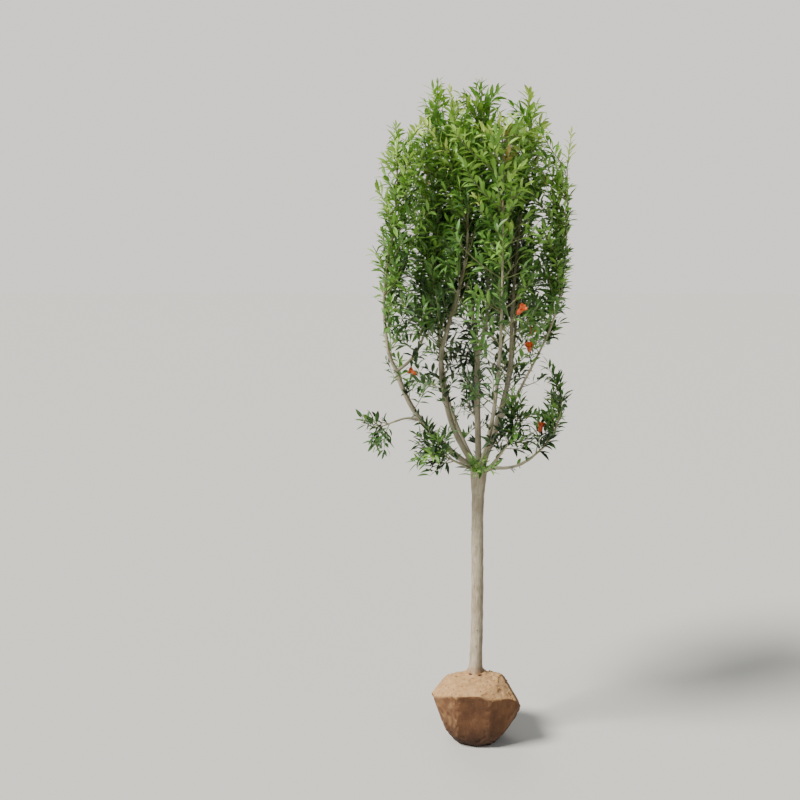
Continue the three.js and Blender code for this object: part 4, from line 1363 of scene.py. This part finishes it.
def make_shoots(bark):
    chance = random.Random(17)
    shoots = []
    for name, grown in masses.items():
        stem = grown["twigs"][0]
        carrier = stem[0]
        start = carrier._replace(point=carrier.point - carrier.along * (14 if name == FORK_TUFT else 7))
        curve = smooth_line([start] + stem, 14)
        curve = resized(curve, lambda i: 1 + 0.07 * math.sin(i * 1.9 + len(name)))
        shoots.append((curve, STEM_SIDES, (1.0, 0.25), chance.uniform(0, GRAIN_SHIFT)))
        for twig in grown["twigs"][1:]:
            curve = smooth_line(twig, 11)
            curve = resized(curve, lambda i: 0.72 - 0.12 * i / len(curve))
            shoots.append((curve, TWIG_SIDES, (0.5, 0.0), chance.uniform(0, GRAIN_SHIFT)))
    for points, thick, thin in twiglets:
        line = shoot_line(points, lambda share: thick + (thin - thick) * share)
        shoots.append((line, TWIGLET_SIDES, (0.2, 0.0), chance.uniform(0, GRAIN_SHIFT)))
    points, triangles, wood, age = tube_arrays(shoots)
    mesh = mesh_of_arrays("twigs", points, triangles)
    store(mesh, wood=wood * MM, age=age, scar=np.zeros(len(points)), soil=np.zeros(len(points)))
    finished(put("twigs", mesh), MASS_NAMES, bark)


# Leaves
def leaf_pattern():
    """A narrow blade folded along its midrib: each corner's share of its length and of its width."""
    rows = [(0.1, 0.14), (0.3, 0.8), (0.55, 1.0), (0.8, 0.62)]
    between_ends = [(share, side * width) for share, width in rows for side in (-1, 0, 1)]
    corners = [(0.0, 0.0), *between_ends, (1.0, 0.0)]
    triangles = [(0, 2, 1), (0, 3, 2)]
    for row in range(len(rows) - 1):
        left, mid, right = (1 + 3 * row + k for k in range(3))
        for a, b in ((left, mid), (mid, right)):
            triangles += [(a, b, b + 3), (a, b + 3, a + 3)]
    last = 1 + 3 * (len(rows) - 1)
    triangles += [(last, last + 1, last + 3), (last + 1, last + 2, last + 3)]
    return np.array(corners), np.array(triangles)


def make_leaves(materials):
    root, along, face, length, tone = leaf_arrays()
    corners, triangles = leaf_pattern()
    dice = np.random.RandomState(29)
    across = np.cross(along, face)
    arch = dice.uniform(0.15, 0.95, len(root))
    fold = dice.uniform(0.15, 0.6, len(root))
    wide = LEAF_HALF_WIDTH * dice.uniform(0.85, 1.15, len(root))
    twist = dice.uniform(-0.5, 0.5, len(root))
    share, out = corners[:, 0], corners[:, 1]
    turn = arch[:, None] * share
    forward = np.sin(turn) / arch[:, None]
    drop = -(1 - np.cos(turn)) / arch[:, None]
    flat = out * wide[:, None]
    roll = twist[:, None] * share
    sideways = flat * np.cos(roll)
    lift = drop + np.abs(flat) * fold[:, None] + flat * np.sin(roll)
    size = length[:, None, None]
    blade = along[:, None] * forward[..., None] + across[:, None] * sideways[..., None]
    points = root[:, None] + size * (blade + face[:, None] * lift[..., None])
    for index, name in enumerate(TONES):
        chosen = points[tone == index]
        faces = triangles[None] + (np.arange(len(chosen)) * len(corners))[:, None, None]
        mesh = mesh_of_arrays(f"leaves_{name}", chosen.reshape(-1, 3), faces.reshape(-1, 3))
        finished(put(f"leaves_{name}", mesh), MASS_NAMES, materials[name])


# Flowers
CUP_RINGS = [(1.8, -4), (3.6, -1), (6.4, 4), (7.6, 10), (7.0, 16), (7.2, 20), (9.0, 24), (10.6, 29)]
PETALS = 6
STAMENS = 16


def make_flowers(cup_red, petal_red, pollen):
    """Open flowers: a waxy cup with pointed lobes, crumpled petals and a tuft of stamens."""
    chance = random.Random(23)
    cups, petals, stamens = bmesh.new(), bmesh.new(), bmesh.new()
    for station in (flower for grown in masses.values() for flower in grown["flowers"]):
        frame_of = placed(station, 1)
        lobes = chance.choice((6, 6, 7))
        sides = lobes * 4
        start = Matrix.Translation((0, 0, CUP_RINGS[0][1] * MM))
        made, edges = first_ring(cups, sides, CUP_RINGS[0][0] * MM, start)
        for (r, z), (next_r, next_z) in zip(CUP_RINGS, CUP_RINGS[1:]):
            verts, edges = next_ring(cups, edges)
            bmesh.ops.scale(cups, vec=(next_r / r, next_r / r, 1), verts=verts)
            bmesh.ops.translate(cups, vec=(0, 0, (next_z - z) * MM), verts=verts)
            made += verts
        for vert in verts:
            point = abs(math.sin(math.atan2(vert.co.y, vert.co.x) * lobes / 2))
            vert.co.z -= (1 - point) * 9 * MM
            vert.co.xy *= 0.84 + 0.24 * point
        bmesh.ops.transform(cups, matrix=frame_of, verts=made)
        for k in range(PETALS):
            grid = bmesh.ops.create_grid(petals, x_segments=6, y_segments=6, size=1)["verts"]
            tilt = math.tau * k / PETALS + chance.uniform(-0.2, 0.2)
            seed = chance.uniform(0, 90)
            for vert in grid:
                u, v = vert.co.x, (vert.co.y + 1) / 2
                width = 7.6 * math.sin(math.pi * (0.12 + 0.76 * v)) ** 0.6
                crease = noise.noise(Vector((u * 1.7, v * 2.4, seed))) * 3.4 * (0.3 + v)
                out = 3.5 + 9.5 * v ** 0.8 + crease
                rise = 18 + 20 * v - 6.0 * v * v + noise.noise(Vector((u * 2.3, v * 2, seed + 7))) * 3 * v
                flat = u * width + noise.noise(Vector((v * 3, u * 2, seed + 3))) * 1.8
                vert.co = Vector((out * math.cos(tilt) - flat * math.sin(tilt),
                                  out * math.sin(tilt) + flat * math.cos(tilt), rise)) * MM
            bmesh.ops.transform(petals, matrix=frame_of, verts=grid)
        for _ in range(STAMENS):
            bearing, out = chance.uniform(0, math.tau), math.sqrt(chance.random()) * 5.5
            spot = Matrix.Translation(Vector((out * math.cos(bearing), out * math.sin(bearing),
                                              chance.uniform(24, 30))) * MM)
            bmesh.ops.create_icosphere(stamens, subdivisions=1, radius=1.0 * MM, matrix=frame_of @ spot)
    for bm, name, material in ((cups, "flower_cups", cup_red), (petals, "petals", petal_red),
                               (stamens, "stamens", pollen)):
        bmesh.ops.recalc_face_normals(bm, faces=bm.faces)
        finished(put(name, shape_of(bm, name), smooth=name != "stamens"), MASS_NAMES, material)


# Stage and light
SEEN_SKY = {"Color": (1.0, 0.967, 0.9, 1), "Strength": 1.145}
AMBIENT = {"Color": (0.9, 0.95, 1.0, 1), "Strength": 0.24}
# Each sun's name, the way to it, its strength, its spread in degrees and its tint.
SUNS = [
    ("key", (-0.9, -0.42, 1.1), 5.4, 18, (1.0, 0.97, 0.92)),
    ("fill", (0.7, -1.0, 0.8), 0.3, 60, (0.92, 0.96, 1.0)),
    ("rim", (-0.3, 1.0, 0.9), 0.7, 40, (1.0, 0.99, 0.95)),
]


def stage():
    bm = bmesh.new()
    bmesh.ops.create_grid(bm, x_segments=1, y_segments=1, size=400)
    floor = put("floor", shape_of(bm, "floor"), smooth=False)
    floor.data.materials.append(shader_of("floor", (216, 214, 208), 0.95, Specular_IOR_Level=0.1)[0])

    world = bpy.data.worlds.new("sky")
    world.use_nodes = True
    tree = world.node_tree
    seen = tree.nodes["Background"]
    for key, value in SEEN_SKY.items():
        seen.inputs[key].default_value = value
    ambient = node(tree, "ShaderNodeBackground", AMBIENT)
    from_camera = node(tree, "ShaderNodeLightPath").outputs["Is Camera Ray"]
    mix = node(tree, "ShaderNodeMixShader", {0: from_camera, 1: ambient.outputs[0], 2: seen.outputs[0]})
    tree.links.new(mix.outputs[0], tree.nodes["World Output"].inputs["Surface"])
    bpy.context.scene.world = world

    for name, away, strength, spread, tint in SUNS:
        light = bpy.data.lights.new(name, "SUN")
        light.energy = strength
        light.angle = math.radians(spread)
        light.color = tint
        linked(name, light).rotation_euler = Vector(away).to_track_quat("Z", "Y").to_euler()


stage()
grain = bark_grain()
clay = clay_material()
old_bark = bark_material("old_bark", grain, (214, 202, 178), (176, 162, 136), (154, 154, 132),
                         (126, 111, 88), 0.78)
young_bark = bark_material("young_bark", grain, (206, 198, 172), (164, 154, 128), (124, 138, 76),
                           (116, 104, 80), 0.66)
# The leaves' greens, made lighter as painted light for the light that shines through the leaves.
GREENS = {
    "tip": (192, 216, 108), "fresh_and_lit": (162, 200, 90), "bright": (128, 174, 74), "middle": (94, 138, 60),
    "deep": (66, 101, 48), "inner": (46, 70, 38), "bronze": (150, 134, 70),
}
FLOWER_COLOURS = (("cup_red", (206, 84, 42), 0.35), ("petal_red", (232, 98, 48), 0.5),
                  ("pollen", (232, 190, 84), 0.7))

make_crumbs(clay, make_ball(clay))
make_limbs(old_bark)
make_shoots(young_bark)
make_leaves({name: shader_of(f"leaf_{name}", tone, 0.42)[0] for name, tone in GREENS.items()})
make_flowers(*(shader_of(*kind)[0] for kind in FLOWER_COLOURS))
